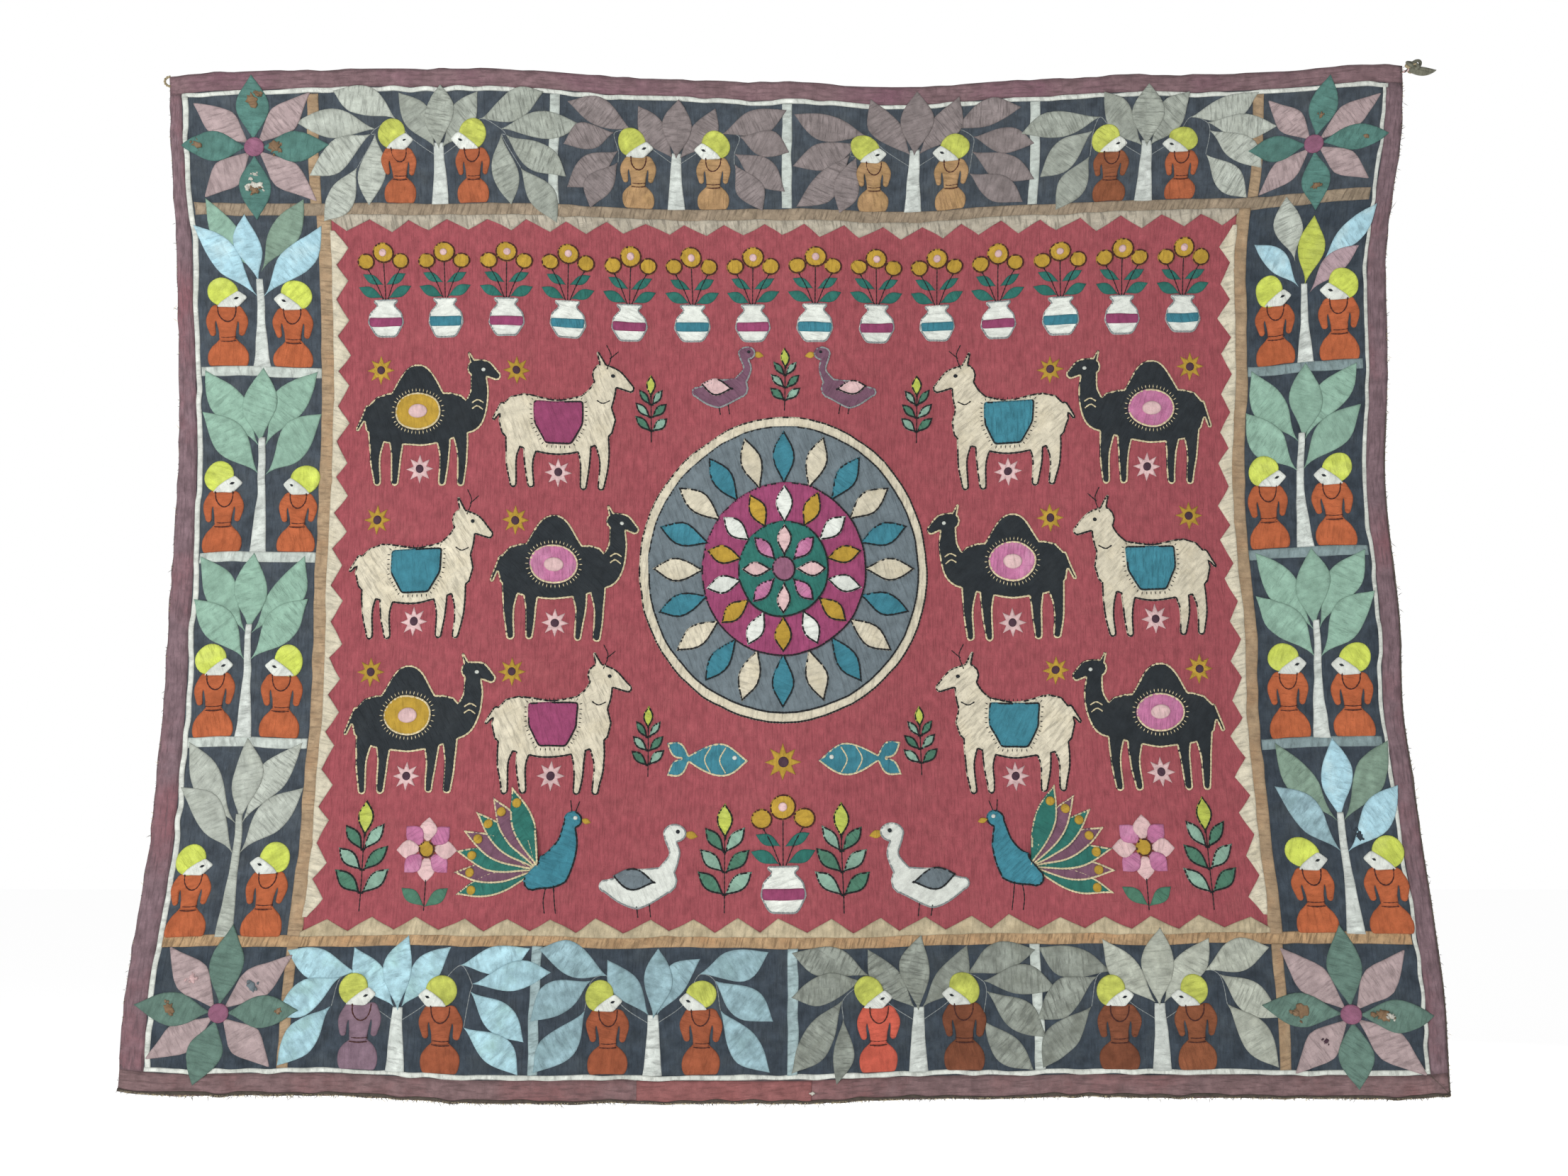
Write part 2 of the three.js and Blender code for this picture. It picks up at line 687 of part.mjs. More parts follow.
// A short stem of cord from the corner, a knot of one turn round a core, and a flat tail
function addTie() {
  const corner = hang(HALF, 0);
  const at = (out, up) => new THREE.Vector3(corner.x + out, corner.y, corner.z + up);
  const stemPath = new THREE.QuadraticBezierCurve3(
    at(GAP, -TIE_START_DOWN),
    at(KNOT.out / 2, -TIE_START_DOWN),
    at(KNOT.out, KNOT.up),
  );
  const middle = at(KNOT.out, KNOT.up);
  const sides = KNOT_SIDES;
  const core = new THREE.SphereGeometry(KNOT.radius, sides.core, sides.coreRings);
  core.translate(middle.x, middle.y, middle.z);
  const turn = new THREE.TorusGeometry(KNOT_TURN.radius, CORD_DIAMETER / 2, sides.turnSection, sides.turn);
  turn.rotateX(Math.PI / 2 + KNOT_TURN.tilt);
  turn.rotateY(KNOT_TURN.tilt);
  turn.translate(middle.x, middle.y, middle.z);
  const pieces = [cord(stemPath, TIE_STEM_STEPS), core, turn, tail(corner)].map(solidOf);
  const solid = pieces.reduce((all, next) => all.add(next));
  addMesh("tie_right", geometryOf(solid), "cord_beige");
}

// The tie's flat end, pointed at its tip and deepest halfway along
function tail(corner) {
  const halfway = (TAIL.root + TAIL.tip) / 2;
  const outline = new THREE.Shape();
  outline.moveTo(TAIL.root, KNOT.up);
  outline.quadraticCurveTo(halfway, KNOT.up, TAIL.tip, -TAIL.tipDrop);
  outline.quadraticCurveTo(halfway, -TAIL.lowest, TAIL.root, -TAIL.tipDrop);
  const flat = { depth: TAIL.thickness, bevelEnabled: false, curveSegments: TAIL.steps };
  const geometry = new THREE.ExtrudeGeometry(outline, flat);
  geometry.rotateX(Math.PI / 2);
  geometry.translate(corner.x, corner.y + TAIL.thickness / 2, corner.z);
  return geometry;
}
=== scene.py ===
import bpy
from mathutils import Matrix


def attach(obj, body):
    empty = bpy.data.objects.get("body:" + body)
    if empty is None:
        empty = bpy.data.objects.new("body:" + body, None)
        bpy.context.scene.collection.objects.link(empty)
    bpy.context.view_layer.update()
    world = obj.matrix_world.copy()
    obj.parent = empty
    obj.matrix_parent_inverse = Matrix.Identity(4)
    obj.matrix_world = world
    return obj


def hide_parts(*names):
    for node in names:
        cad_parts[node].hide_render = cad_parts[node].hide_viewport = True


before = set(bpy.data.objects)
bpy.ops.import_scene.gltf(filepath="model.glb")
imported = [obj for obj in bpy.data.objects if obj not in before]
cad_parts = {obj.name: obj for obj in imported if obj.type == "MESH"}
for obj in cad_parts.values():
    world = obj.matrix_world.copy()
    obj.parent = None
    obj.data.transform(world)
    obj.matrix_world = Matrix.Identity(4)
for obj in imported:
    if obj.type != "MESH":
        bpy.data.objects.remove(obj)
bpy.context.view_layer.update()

import itertools
import math

import bpy
import numpy as np
from mathutils import Vector, geometry

MM = 0.001
rng = np.random.default_rng(20)

# Cut size of the cloth and the widths of its strips from the edge inwards, as in the part's source
WIDTH = 1652
HEIGHT = 1311
HALF = WIDTH / 2
ROWS = {
    "top": {"binding": 25, "piping": 6, "panel": 144, "tape": 15},
    "bottom": {"binding": 28, "piping": 6, "panel": 153, "tape": 13},
}
SIDE = {"binding": 31, "piping": 7, "panel": 154, "tape": 16}
BAR_WIDTH = 13

# How far the side edges hang from the middle, at distances down the cloth
EDGE_DOWN = [0, 120, 260, 420, 560, 720, 860, 1000, 1200, 1311]
EDGE_LEFT = [812, 805, 793, 783, 781, 786, 789, 800, 822, 826]
EDGE_RIGHT = [819, 811, 788, 784, 775, 786, 788, 804, 824, 827]

# How far the top edge, the field's upper and lower edges and the hem hang below straight lines
SAG_ACROSS = [-826, -760, -540, -370, -190, 0, 130, 300, 440, 570, 780, 826]
SAGS = {
    "top": [-10, -17, -24, -20, -11, -3, 3, -8, -12, -15, -28, -26],
    "upper": [-13, -14, -15, -12, -7, -4, -2, -12, -16, -20, -33, -35],
    "lower": [2, 1, 0, 0, 2, 2, 0, -2, -3, -4, -4, -4],
    "hem": [-12, -6, -3, 4, 7, 5, 2, 0, -3, -1, 0, -4],
}

# How far the inner edges of the side bindings lie outside their straight cut, at distances down the cloth
NARROW_DOWN = [0, 120, 290, 560, 800, 1311]
NARROW_LEFT = [16, 13, 9, 4, 0, 0]
NARROW_RIGHT = [8, 7, 5, 5, 5, 6]

# Soft upright folds: where each runs, its spread to either side and how far forward it stands
FOLDS = [
    (-790, 80, 9),
    (-560, 95, -6),
    (-370, 110, 9),
    (-155, 100, -7),
    (50, 90, 12),
    (260, 105, -8),
    (478, 120, 9),
    (660, 90, -7),
    (790, 75, 8),
]
TOP_FOLD_SHARE = 0.6
HEM_FOLD_SHARE = 1.3

# Small unevenness of hand sewing: drift of the seams, and wrinkles as cell sizes and heights
DRIFT_CELL = 85
DRIFT = 1.8
WRINKLES = [((48, 190), 1.1), ((150, 42), 0.6), ((26, 34), 0.3)]

# Places of the bars between the border's panels
BARS = {
    "top": [-310, 3, 336],
    "bottom": [-313, 11, 319],
    "left": [399, 639, 872],
    "right": [405, 640, 878],
}


def insets(strips):
    """Distances in from the edge at which the strips inside the binding start"""
    piping = strips["binding"]
    panel = piping + strips["piping"]
    tape = panel + strips["panel"]
    return {"piping": piping, "panel": panel, "tape": tape, "field": tape + strips["tape"]}


# Lines between the strips: down from the top edge for the two rows, and out from the middle for the sides
high = insets(ROWS["top"])
low = {line: HEIGHT - inset for line, inset in insets(ROWS["bottom"]).items()}
out = {line: HALF - inset for line, inset in insets(SIDE).items()}
SAG_DOWN = np.array([0, high["field"], low["field"], HEIGHT])


# Smooth tables, directions and noise

def unit(vectors):
    """Flat vectors brought to a length of 1"""
    return vectors / np.maximum(np.hypot(*vectors.T), 1e-9)[:, None]


def sideways(vectors):
    """Flat vectors turned by a quarter"""
    return np.column_stack([-vectors[:, 1], vectors[:, 0]])


def lengths_along(path):
    """Distances along a flat path from its start to each of its points"""
    return np.concatenate([[0], np.cumsum(np.hypot(*np.diff(path, axis=0).T))])


def read_table(places, values, at):
    """A smooth curve through a table's rows, level past its ends"""
    places = np.asarray(places, float)
    values = np.asarray(values, float)
    before = np.maximum(np.arange(len(places)) - 1, 0)
    after = np.minimum(np.arange(len(places)) + 1, len(places) - 1)
    slopes = (values[after] - values[before]) / (places[after] - places[before])
    at = np.clip(at, places[0], places[-1])
    i = np.clip(np.searchsorted(places, at, side="right") - 1, 0, len(places) - 2)
    span = places[i + 1] - places[i]
    t = (at - places[i]) / span
    rise = t * t * (3 - 2 * t)
    start = t * (1 - t) ** 2 * span * slopes[i]
    end = t * t * (1 - t) * span * slopes[i + 1]
    return values[i] * (1 - rise) + values[i + 1] * rise + start - end


LATTICE = np.random.default_rng(7).uniform(-1, 1, (97, 89))
SEED_SHIFT = 17.3


def noise(flat, cell, seed):
    """Smooth random heights from -1 to 1 over the flat cloth, with one height at each cell's corner"""
    place = np.asarray(flat, float) / cell + seed * SEED_SHIFT
    corner = np.floor(place).astype(int)
    share = place - corner
    share = share * share * (3 - 2 * share)
    rows, columns = LATTICE.shape
    total = 0
    for i in (0, 1):
        for j in (0, 1):
            weight = (share[:, 0] if i else 1 - share[:, 0]) * (share[:, 1] if j else 1 - share[:, 1])
            total = total + weight * LATTICE[(corner[:, 0] + i) % rows, (corner[:, 1] + j) % columns]
    return total


def fold_depth(across):
    return sum(depth * np.exp(-(((across - at) / spread) ** 2)) for at, spread, depth in FOLDS)


def sag_at(across, down):
    """How far places hang below straight lines, between the levels above and below each"""
    sags = np.array([read_table(SAG_ACROSS, sag, across) for sag in SAGS.values()])
    i = np.clip(np.searchsorted(SAG_DOWN, down, side="right") - 1, 0, len(SAG_DOWN) - 2)
    share = np.clip((down - SAG_DOWN[i]) / (SAG_DOWN[i + 1] - SAG_DOWN[i]), 0, 1)
    place = np.arange(len(across))
    return sags[i, place] * (1 - share) + sags[i + 1, place] * share


def narrowed(across, down):
    """How far places shift outwards where a side binding is narrow, most of all at its inner edge"""
    share = np.interp(np.abs(across), [out["field"], out["piping"], HALF], [0, 1, 0])
    left = read_table(NARROW_DOWN, NARROW_LEFT, down)
    right = read_table(NARROW_DOWN, NARROW_RIGHT, down)
    return share * np.where(across < 0, -left, right)


def hang(flat, forward=0.0):
    """Flat places as they hang, in metres, some way forward of the ground cloth's front"""
    flat = np.asarray(flat, float)
    across = flat[:, 0] + DRIFT * noise(flat, DRIFT_CELL, 1)
    down = flat[:, 1] + DRIFT * noise(flat, DRIFT_CELL, 2)
    across = across + narrowed(across, down)
    left = read_table(EDGE_DOWN, EDGE_LEFT, down)
    right = read_table(EDGE_DOWN, EDGE_RIGHT, down)
    reach = np.where(across < 0, left, right)
    share = down / HEIGHT
    fold = fold_depth(across) * (TOP_FOLD_SHARE + (HEM_FOLD_SHARE - TOP_FOLD_SHARE) * share)
    fold = fold - fold_depth(0) * TOP_FOLD_SHARE
    for i, (cell, height) in enumerate(WRINKLES):
        fold = fold + height * noise(flat, np.array(cell), 3 + i)
    places = [across * reach / HALF, -fold - forward, -down - sag_at(across, down)]
    return np.column_stack(places) * MM


# Cloths: colour, strength of the painted shade in the fine creases and their pitch, strength of the blotches,
# and a stain's colour and share

CLOTHS = {
    "red": ((157, 80, 87), 0.08, 2.2, 0.10, (168, 100, 100), 0.15),
    "navy": ((69, 77, 85), 0.12, 3.0, 0.32, (88, 93, 94), 0.35),
    "navy_deep": ((60, 69, 78), 0.12, 3.0, 0.34, (82, 89, 91), 0.30),
    "binding": ((125, 103, 109), 0.24, 3.5, 0.26, (140, 88, 94), 0.60),
    "binding_hem": ((127, 103, 104), 0.24, 3.5, 0.26, (142, 92, 92), 0.60),
    "binding_red": ((146, 96, 95), 0.24, 3.5, 0.20, (150, 88, 86), 0.50),
    "binding_old": ((127, 102, 106), 0.24, 3.5, 0.26, (128, 86, 104), 0.55),
    "dark_cloth_and_shadow": ((92, 84, 76), 0.20, 3.0, 0.20, (60, 56, 52), 0.30),
    "piping": ((216, 220, 212), 0.22, 7.0, 0.20, (176, 186, 170), 0.30),
    "tape": ((172, 148, 119), 0.30, 3.6, 0.24, (172, 132, 96), 0.40),
    "tape_tan": ((174, 145, 111), 0.30, 3.6, 0.24, (176, 130, 90), 0.40),
    "tape_old": ((152, 136, 116), 0.30, 3.6, 0.24, (134, 120, 96), 0.30),
    "cream_old": ((176, 168, 152), 0.30, 4.0, 0.24, (146, 134, 112), 0.30),
    "cream": ((212, 204, 182), 0.20, 4.0, 0.10, (178, 162, 122), 0.22),
    "cream_tan": ((194, 180, 150), 0.24, 4.0, 0.24, (160, 140, 104), 0.35),
    "bar_white": ((198, 206, 199), 0.26, 7.0, 0.20, (160, 174, 166), 0.30),
    "bar_grey": ((160, 182, 184), 0.26, 5.0, 0.26, (128, 142, 144), 0.45),
    "bar_blue": ((130, 148, 150), 0.22, 6.0, 0.20, (110, 128, 120), 0.25),
    "sage": ((142, 176, 158), 0.14, 5.0, 0.16, (124, 160, 140), 0.25),
    "sage_old": ((130, 154, 137), 0.16, 5.0, 0.22, (112, 136, 118), 0.30),
    "sky": ((166, 204, 216), 0.16, 6.0, 0.18, (196, 218, 218), 0.50),
    "sky_stained": ((166, 203, 213), 0.20, 6.0, 0.30, (146, 182, 172), 0.50),
    "sky_dim": ((147, 177, 185), 0.22, 6.0, 0.34, (122, 150, 150), 0.45),
    "pale_grey": ((180, 186, 176), 0.24, 3.2, 0.20, (160, 164, 150), 0.28),
    "grey_dim": ((159, 165, 155), 0.26, 3.2, 0.24, (138, 142, 130), 0.32),
    "mauve_grey": ((138, 128, 127), 0.26, 2.8, 0.24, (118, 110, 108), 0.30),
    "olive_grey": ((141, 147, 138), 0.30, 3.4, 0.34, (118, 122, 108), 0.35),
    "olive_pale": ((180, 185, 172), 0.28, 3.4, 0.28, (154, 156, 140), 0.30),
    "lime": ((184, 194, 87), 0.14, 5.0, 0.12, (204, 212, 132), 0.25),
    "dusk_pink": ((176, 152, 158), 0.20, 4.0, 0.10, (156, 132, 140), 0.25),
    "petal_top": ((86, 127, 119), 0.14, 4.0, 0.20, (78, 110, 102), 0.40),
    "petal_bottom": ((100, 127, 116), 0.16, 4.0, 0.16, (82, 106, 98), 0.30),
    "petal_pink": ((174, 155, 155), 0.24, 4.2, 0.16, (156, 136, 138), 0.25),
    "magenta": ((144, 96, 119), 0.10, 4.0, 0.12, (128, 76, 102), 0.20),
    "worn_brown": ((136, 110, 84), 0.20, 3.0, 0.25, (178, 160, 136), 0.35),
    "worn_white": ((214, 212, 200), 0.20, 3.0, 0.20, (150, 138, 120), 0.35),
    "trunk": ((207, 213, 207), 0.24, 5.5, 0.20, (172, 182, 174), 0.38),
    "white": ((222, 226, 218), 0.12, 4.5, 0.06, (196, 202, 192), 0.20),
    "turban": ((201, 213, 94), 0.12, 5.0, 0.20, (216, 224, 138), 0.28),
    "turban_old": ((190, 197, 94), 0.16, 5.0, 0.28, (164, 170, 80), 0.40),
    "orange": ((179, 98, 63), 0.10, 4.5, 0.16, (164, 84, 52), 0.30),
    "orange_old": ((170, 96, 64), 0.12, 4.0, 0.18, (150, 80, 52), 0.28),
    "rust": ((156, 87, 60), 0.12, 4.0, 0.20, (136, 72, 48), 0.30),
    "rust_dim": ((138, 84, 58), 0.12, 4.0, 0.20, (120, 70, 48), 0.30),
    "brown_red": ((124, 75, 54), 0.12, 4.0, 0.22, (106, 62, 44), 0.30),
    "coral": ((202, 97, 79), 0.10, 4.0, 0.16, (186, 82, 66), 0.25),
    "peach": ((174, 140, 101), 0.18, 3.4, 0.20, (154, 126, 76), 0.40),
    "plum": ((132, 109, 122), 0.12, 4.0, 0.18, (116, 92, 108), 0.25),
    "black": ((44, 49, 53), 0.10, 4.0, 0.14, (60, 64, 66), 0.25),
    "purple": ((148, 70, 106), 0.08, 4.0, 0.10, (130, 58, 92), 0.20),
    "pink_print": ((188, 116, 154), 0.14, 2.4, 0.14, (216, 168, 192), 0.40),
    "mustard": ((184, 150, 60), 0.12, 4.0, 0.10, (160, 128, 48), 0.25),
    "teal_blue": ((64, 128, 144), 0.14, 3.6, 0.12, (52, 110, 124), 0.25),
    "teal_green": ((50, 112, 102), 0.12, 4.0, 0.12, (42, 96, 92), 0.25),
    "green": ((80, 125, 104), 0.14, 4.0, 0.12, (66, 108, 88), 0.25),
    "maroon": ((78, 56, 68), 0.10, 4.0, 0.12, (64, 46, 58), 0.20),
    "violet": ((118, 84, 102), 0.12, 4.0, 0.12, (100, 70, 88), 0.25),
    "slate": ((112, 124, 130), 0.18, 3.4, 0.12, (92, 102, 108), 0.25),
    "rose": ((220, 187, 186), 0.14, 4.0, 0.08, (202, 162, 164), 0.25),
    "thread_black": ((38, 40, 42), 0.20, 2.0, 0.10, (58, 58, 58), 0.20),
    "thread_dark": ((78, 46, 42), 0.20, 2.0, 0.10, (70, 46, 42), 0.20),
    "thread_cream": ((218, 204, 166), 0.20, 2.0, 0.10, (190, 172, 130), 0.20),
    "thread_grey": ((146, 152, 152), 0.20, 2.0, 0.10, (120, 126, 126), 0.20),
    "cord": ((172, 158, 126), 0.25, 2.0, 0.15, (140, 128, 104), 0.30),
    "rag": ((114, 114, 100), 0.25, 3.0, 0.18, (86, 86, 74), 0.40),
}

# Sizes of what shows in a cloth, along and across its threads where they differ
BLOTCH_SIZE = 20
STAIN_SIZE = 42
BINDING_STAIN_SIZE = 170
MOTTLE_SIZE = (8, 12.8)
WEAVE_PITCH = 1.4
CREASE_LENGTH = 26
CROSS_PITCH = 1.3

# Its noise: the roughness of every kind, and each kind's detail and the values that are brought to 0 and 1
CLOUD_ROUGHNESS = 0.6
CLOUDS = {
    "blotches": (5.0, 0.3, 0.7),
    "stains": (6.0, 0.48, 0.66),
    "along": (3.0, 0.5, 0.66),
    "across": (3.0, 0.54, 0.7),
    "mottle": (4.0, 0.3, 0.7),
    "specks": (2.0, 0.2, 0.8),
}

# Strengths: creases across the threads, creases of the darkest and the palest patch, how dark the painted
# shade in a crease gets, the mottling, the patches' own tones, and the darkest and palest specks of the weave
CROSS_CREASES = 0.5
RUFFLED = (0.45, 1.05)
CREASE_DARKNESS = 3.4
MOTTLE = 0.32
TONE = 0.085
SPECKLE = (0.8, 0.98)

# Painted shade in creases and painted shadow along edges: the share of the cloth's own light that it keeps,
# and its reach and strength at an edge
PAINTED_SHADE_SHARE = 0.55
EDGE_PAINTED_SHADOW = [(5.0, 0.22), (1.5, 0.4)]

# Surface of the cloth
ROUGHNESS = 0.9
SPECULAR = 0.15
SHEEN = 0.08
RELIEF = 0.0011
RELIEF_STRENGTH = 0.7
WEAVE_RELIEF = 0.35


def linear(colour):
    """A colour in bytes as the shader's own light values"""
    share = np.asarray(colour, float) / 255
    light = np.where(share <= 0.04045, share / 12.92, ((share + 0.055) / 1.055) ** 2.4)
    return (*[float(c) for c in light], 1.0)


class Nodes:
    """Adds and links the nodes of one material"""

    def __init__(self, material):
        material.use_nodes = True
        self.tree = material.node_tree
        self.tree.nodes.clear()

    def add(self, kind, sockets=None, **settings):
        node = self.tree.nodes.new(kind)
        for name, value in settings.items():
            setattr(node, name, value)
        for name, value in (sockets or {}).items():
            if isinstance(value, bpy.types.NodeSocket):
                self.tree.links.new(value, node.inputs[name])
            else:
                node.inputs[name].default_value = value
        return node

    def attribute(self, name, output):
        return self.add("ShaderNodeAttribute", attribute_name=name).outputs[output]

    def scaled(self, vector, *sizes):
        """A vector in cells of the sizes given"""
        scale = tuple(1 / size for size in sizes)
        return self.add("ShaderNodeMapping", {"Vector": vector, "Scale": scale}).outputs[0]

    def ramp(self, value, start, end, first=0.0, last=1.0):
        """A value that runs from one number to another while its source runs from a start to an end"""
        sockets = {"Value": value, "From Min": start, "From Max": end, "To Min": first, "To Max": last}
        return self.add("ShaderNodeMapRange", sockets).outputs[0]

    def cloud(self, vector, detail, start, end):
        """Noise between 0 and 1, steepened so that it is clear of its middle"""
        sockets = {"Vector": vector, "Scale": 1.0, "Detail": detail, "Roughness": CLOUD_ROUGHNESS}
        return self.ramp(self.add("ShaderNodeTexNoise", sockets).outputs[0], start, end)

    def maths(self, operation, a, b):
        return self.add("ShaderNodeMath", {0: a, 1: b}, operation=operation).outputs[0]

    def times(self, a, b):
        return self.maths("MULTIPLY", a, b)

    def mix(self, share, a, b):
        return self.add("ShaderNodeMix", {0: share, 6: a, 7: b}, data_type="RGBA").outputs[2]

    def surface(self, sockets):
        """Ends the material in one shader"""
        shader = self.add("ShaderNodeBsdfPrincipled", sockets).outputs[0]
        self.add("ShaderNodeOutputMaterial", {"Surface": shader})


def cloth_clouds(nodes, name, pitch):
    """The noise that makes a cloth's look, each kind in cells of its own size"""
    stain = BINDING_STAIN_SIZE if name.startswith("binding") else STAIN_SIZE
    sizes = {
        "blotches": (BLOTCH_SIZE, BLOTCH_SIZE),
        "stains": (stain, stain),
        "along": (pitch, CREASE_LENGTH),
        "across": (CREASE_LENGTH, pitch * CROSS_PITCH),
        "mottle": MOTTLE_SIZE,
        "specks": (WEAVE_PITCH, WEAVE_PITCH),
    }
    grain = nodes.attribute("grain", "Vector")
    return {kind: nodes.cloud(nodes.scaled(grain, *size, 1), *CLOUDS[kind]) for kind, size in sizes.items()}


def cloth_creases(nodes, clouds, tone):
    """Creases along the threads and fewer across them, stronger in a paler patch"""
    across = nodes.times(clouds["across"], CROSS_CREASES)
    creases = nodes.maths("MAXIMUM", clouds["along"], across)
    return nodes.times(creases, nodes.ramp(tone, -1.0, 1.0, *RUFFLED))


def cloth_colour(nodes, cloth, clouds, creases, tone):
    """Faded colour with blotches, stains, painted shade in the creases and painted shadow along the edges"""
    colour, crease, _, blotch, stain, stain_share = cloth
    plain = np.array(linear(colour)[:3])
    dark = (*(plain * (1 - blotch)), 1.0)
    pale = (*np.minimum(plain * (1 + blotch), 1), 1.0)
    painted_shade = (*(plain * PAINTED_SHADE_SHARE), 1.0)
    edge = nodes.attribute("edge", "Fac")
    edge_shadow = [nodes.ramp(edge, 0.0, reach, strength, 0.0) for reach, strength in EDGE_PAINTED_SHADOW]
    look = nodes.mix(clouds["blotches"], dark, pale)
    look = nodes.mix(nodes.times(clouds["stains"], stain_share), look, linear(stain))
    # Painted shade: the creases darken toward a shaded copy of the cloth's colour
    look = nodes.mix(nodes.times(creases, crease * CREASE_DARKNESS), look, painted_shade)
    # Painted shadow: a dark rim along each patch's edge
    look = nodes.mix(nodes.maths("ADD", *edge_shadow), look, painted_shade)
    value = nodes.ramp(clouds["specks"], 0.0, 1.0, *SPECKLE)
    value = nodes.maths("ADD", value, nodes.times(clouds["mottle"], MOTTLE))
    value = nodes.maths("ADD", value, nodes.times(tone, TONE))
    return nodes.add("ShaderNodeHueSaturation", {"Value": value, "Color": look}).outputs[0]


def cloth_material(name):
    """Old cotton with creases and a plain weave"""
    material = bpy.data.materials.new(name)
    nodes = Nodes(material)
    cloth = CLOTHS[name]
    tone = nodes.attribute("tone", "Fac")
    clouds = cloth_clouds(nodes, name, cloth[2])
    creases = cloth_creases(nodes, clouds, tone)
    relief = nodes.maths("SUBTRACT", nodes.times(clouds["specks"], WEAVE_RELIEF), creases)
    bump = nodes.add("ShaderNodeBump", {"Height": relief, "Distance": RELIEF, "Strength": RELIEF_STRENGTH})
    nodes.surface({
        "Base Color": cloth_colour(nodes, cloth, clouds, creases, tone),
        "Normal": bump.outputs[0],
        "Roughness": ROUGHNESS,
        "Specular IOR Level": SPECULAR,
        "Sheen Weight": SHEEN,
    })
    return material


materials = {}


def material_of(name):
    if name not in materials:
        materials[name] = cloth_material(name)
    return materials[name]


# Pieces: the mesh of each is gathered from its patches and threads

def add_object(name, data):
    added = bpy.data.objects.new(name, data)
    bpy.context.scene.collection.objects.link(added)
    return added


def add_attribute(mesh, name, values):
    """Keeps a number or a vector for each point of a mesh"""
    kind, field = ("FLOAT_VECTOR", "vector") if values.ndim > 1 else ("FLOAT", "value")
    mesh.attributes.new(name, kind, "POINT").data.foreach_set(field, values.ravel())


class Piece:
    """One visible piece, with the record's slot, which it keeps but does not use, and the nodes that it
    stands for
    """

    def __init__(self, name, slot, nodes):
        self.name = name
        self.slot = slot
        self.nodes = nodes
        self.parts = []
        self.cloths = []
        self.count = 0

    def add(self, points, faces, cloth, grain, edge, tone):
        """Adds a patch or thread: its mesh, cloth, places in the weave, distances from its edge and tone"""
        count = len(points)
        faces = np.asarray(faces, int) + self.count
        self.parts.append((points, faces, grain, np.broadcast_to(edge, count), np.full(count, tone)))
        self.cloths.append((cloth, len(faces)))
        self.count += count

    def make(self):
        points, faces, grain, edge, tone = (np.concatenate(kind) for kind in zip(*self.parts))
        mesh = bpy.data.meshes.new(self.name)
        mesh.vertices.add(len(points))
        mesh.vertices.foreach_set("co", points.ravel())
        mesh.loops.add(faces.size)
        mesh.loops.foreach_set("vertex_index", faces.ravel())
        mesh.polygons.add(len(faces))
        mesh.polygons.foreach_set("loop_start", np.arange(0, faces.size, 3))
        mesh.polygons.foreach_set("use_smooth", np.ones(len(faces), bool))
        names = list(dict.fromkeys(name for name, _ in self.cloths))
        for name in names:
            mesh.materials.append(material_of(name))
        slots = np.concatenate([np.full(count, names.index(name)) for name, count in self.cloths])
        mesh.polygons.foreach_set("material_index", slots)
        for name, values in {"grain": grain, "edge": edge, "tone": tone}.items():
            add_attribute(mesh, name, values)
        mesh.update()
        mesh.validate()
        piece = add_object(self.name, mesh)
        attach(piece, "root")
        if self.nodes:
            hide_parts(*self.nodes)
        return piece


pieces = {}


def piece(name, slot, *nodes):
    if name not in pieces:
        pieces[name] = Piece(name, slot, nodes)
    return pieces[name]


# The stack: how high the cloth laid so far reaches, on a grid over the flat cloth

CELL = 2.0
GRID_MARGIN = 40
GRID_START = np.array([-HALF - GRID_MARGIN, -GRID_MARGIN])
GRID_SHAPE = (int((HEIGHT + 2 * GRID_MARGIN) / CELL), int((WIDTH + 2 * GRID_MARGIN) / CELL))
WINDOW_MARGIN = 12
LAP = 4
laid = np.zeros(GRID_SHAPE)


def cells_of(flat):
    """Rows and columns of the grid at flat places"""
    column, row = ((flat - GRID_START) / CELL).astype(int).T
    return np.clip(row, 0, GRID_SHAPE[0] - 1), np.clip(column, 0, GRID_SHAPE[1] - 1)


def depth_in(ring, places):
    """How far inside a closed outline each place lies, negative outside it"""
    span = np.roll(ring, -1, axis=0) - ring
    away = places[:, None] - ring
    along = (away * span).sum(-1) / np.maximum((span * span).sum(-1), 1e-9)
    gap = away - np.clip(along, 0, 1)[..., None] * span
    nearest = np.sqrt((gap * gap).sum(-1).min(1))
    _, place, crossing = crossings(ring, places[:, 1])
    left_of = places[place, 0] < crossing
    inside = np.bincount(place[left_of], minlength=len(places)) % 2 == 1
    return np.where(inside, nearest, -nearest)


def crossings(ring, levels):
    """Where an outline's edges cross levels down the cloth: the edges, the levels and the places across"""
    after = np.roll(ring, -1, axis=0)
    edge, level = np.nonzero((ring[:, 1:] > levels) != (after[:, 1:] > levels))
    span = after[edge] - ring[edge]
    return edge, level, ring[edge, 0] + span[:, 0] * (levels[level] - ring[edge, 1]) / span[:, 1]


def cells_inside(ring, top, bottom, left, right):
    """Which cells of a window of the grid lie inside a closed outline"""
    start = GRID_START + np.array([left, top]) * CELL
    levels = start[1] + np.arange(bottom - top + 1) * CELL
    _, level, crossing = crossings(ring, levels)
    column = np.clip(np.ceil((crossing - start[0]) / CELL), 0, right - left + 1).astype(int)
    turns = np.zeros((bottom - top + 1, right - left + 2), int)
    np.add.at(turns, (level, column), 1)
    return np.cumsum(turns, axis=1)[:, :-1] % 2 == 1


def spread_out(heights, reach):
    """The highest value within some cells of each cell"""
    for axis in (0, 1):
        heights = np.max([np.roll(heights, shift, axis) for shift in range(-reach, reach + 1)], axis=0)
    return heights


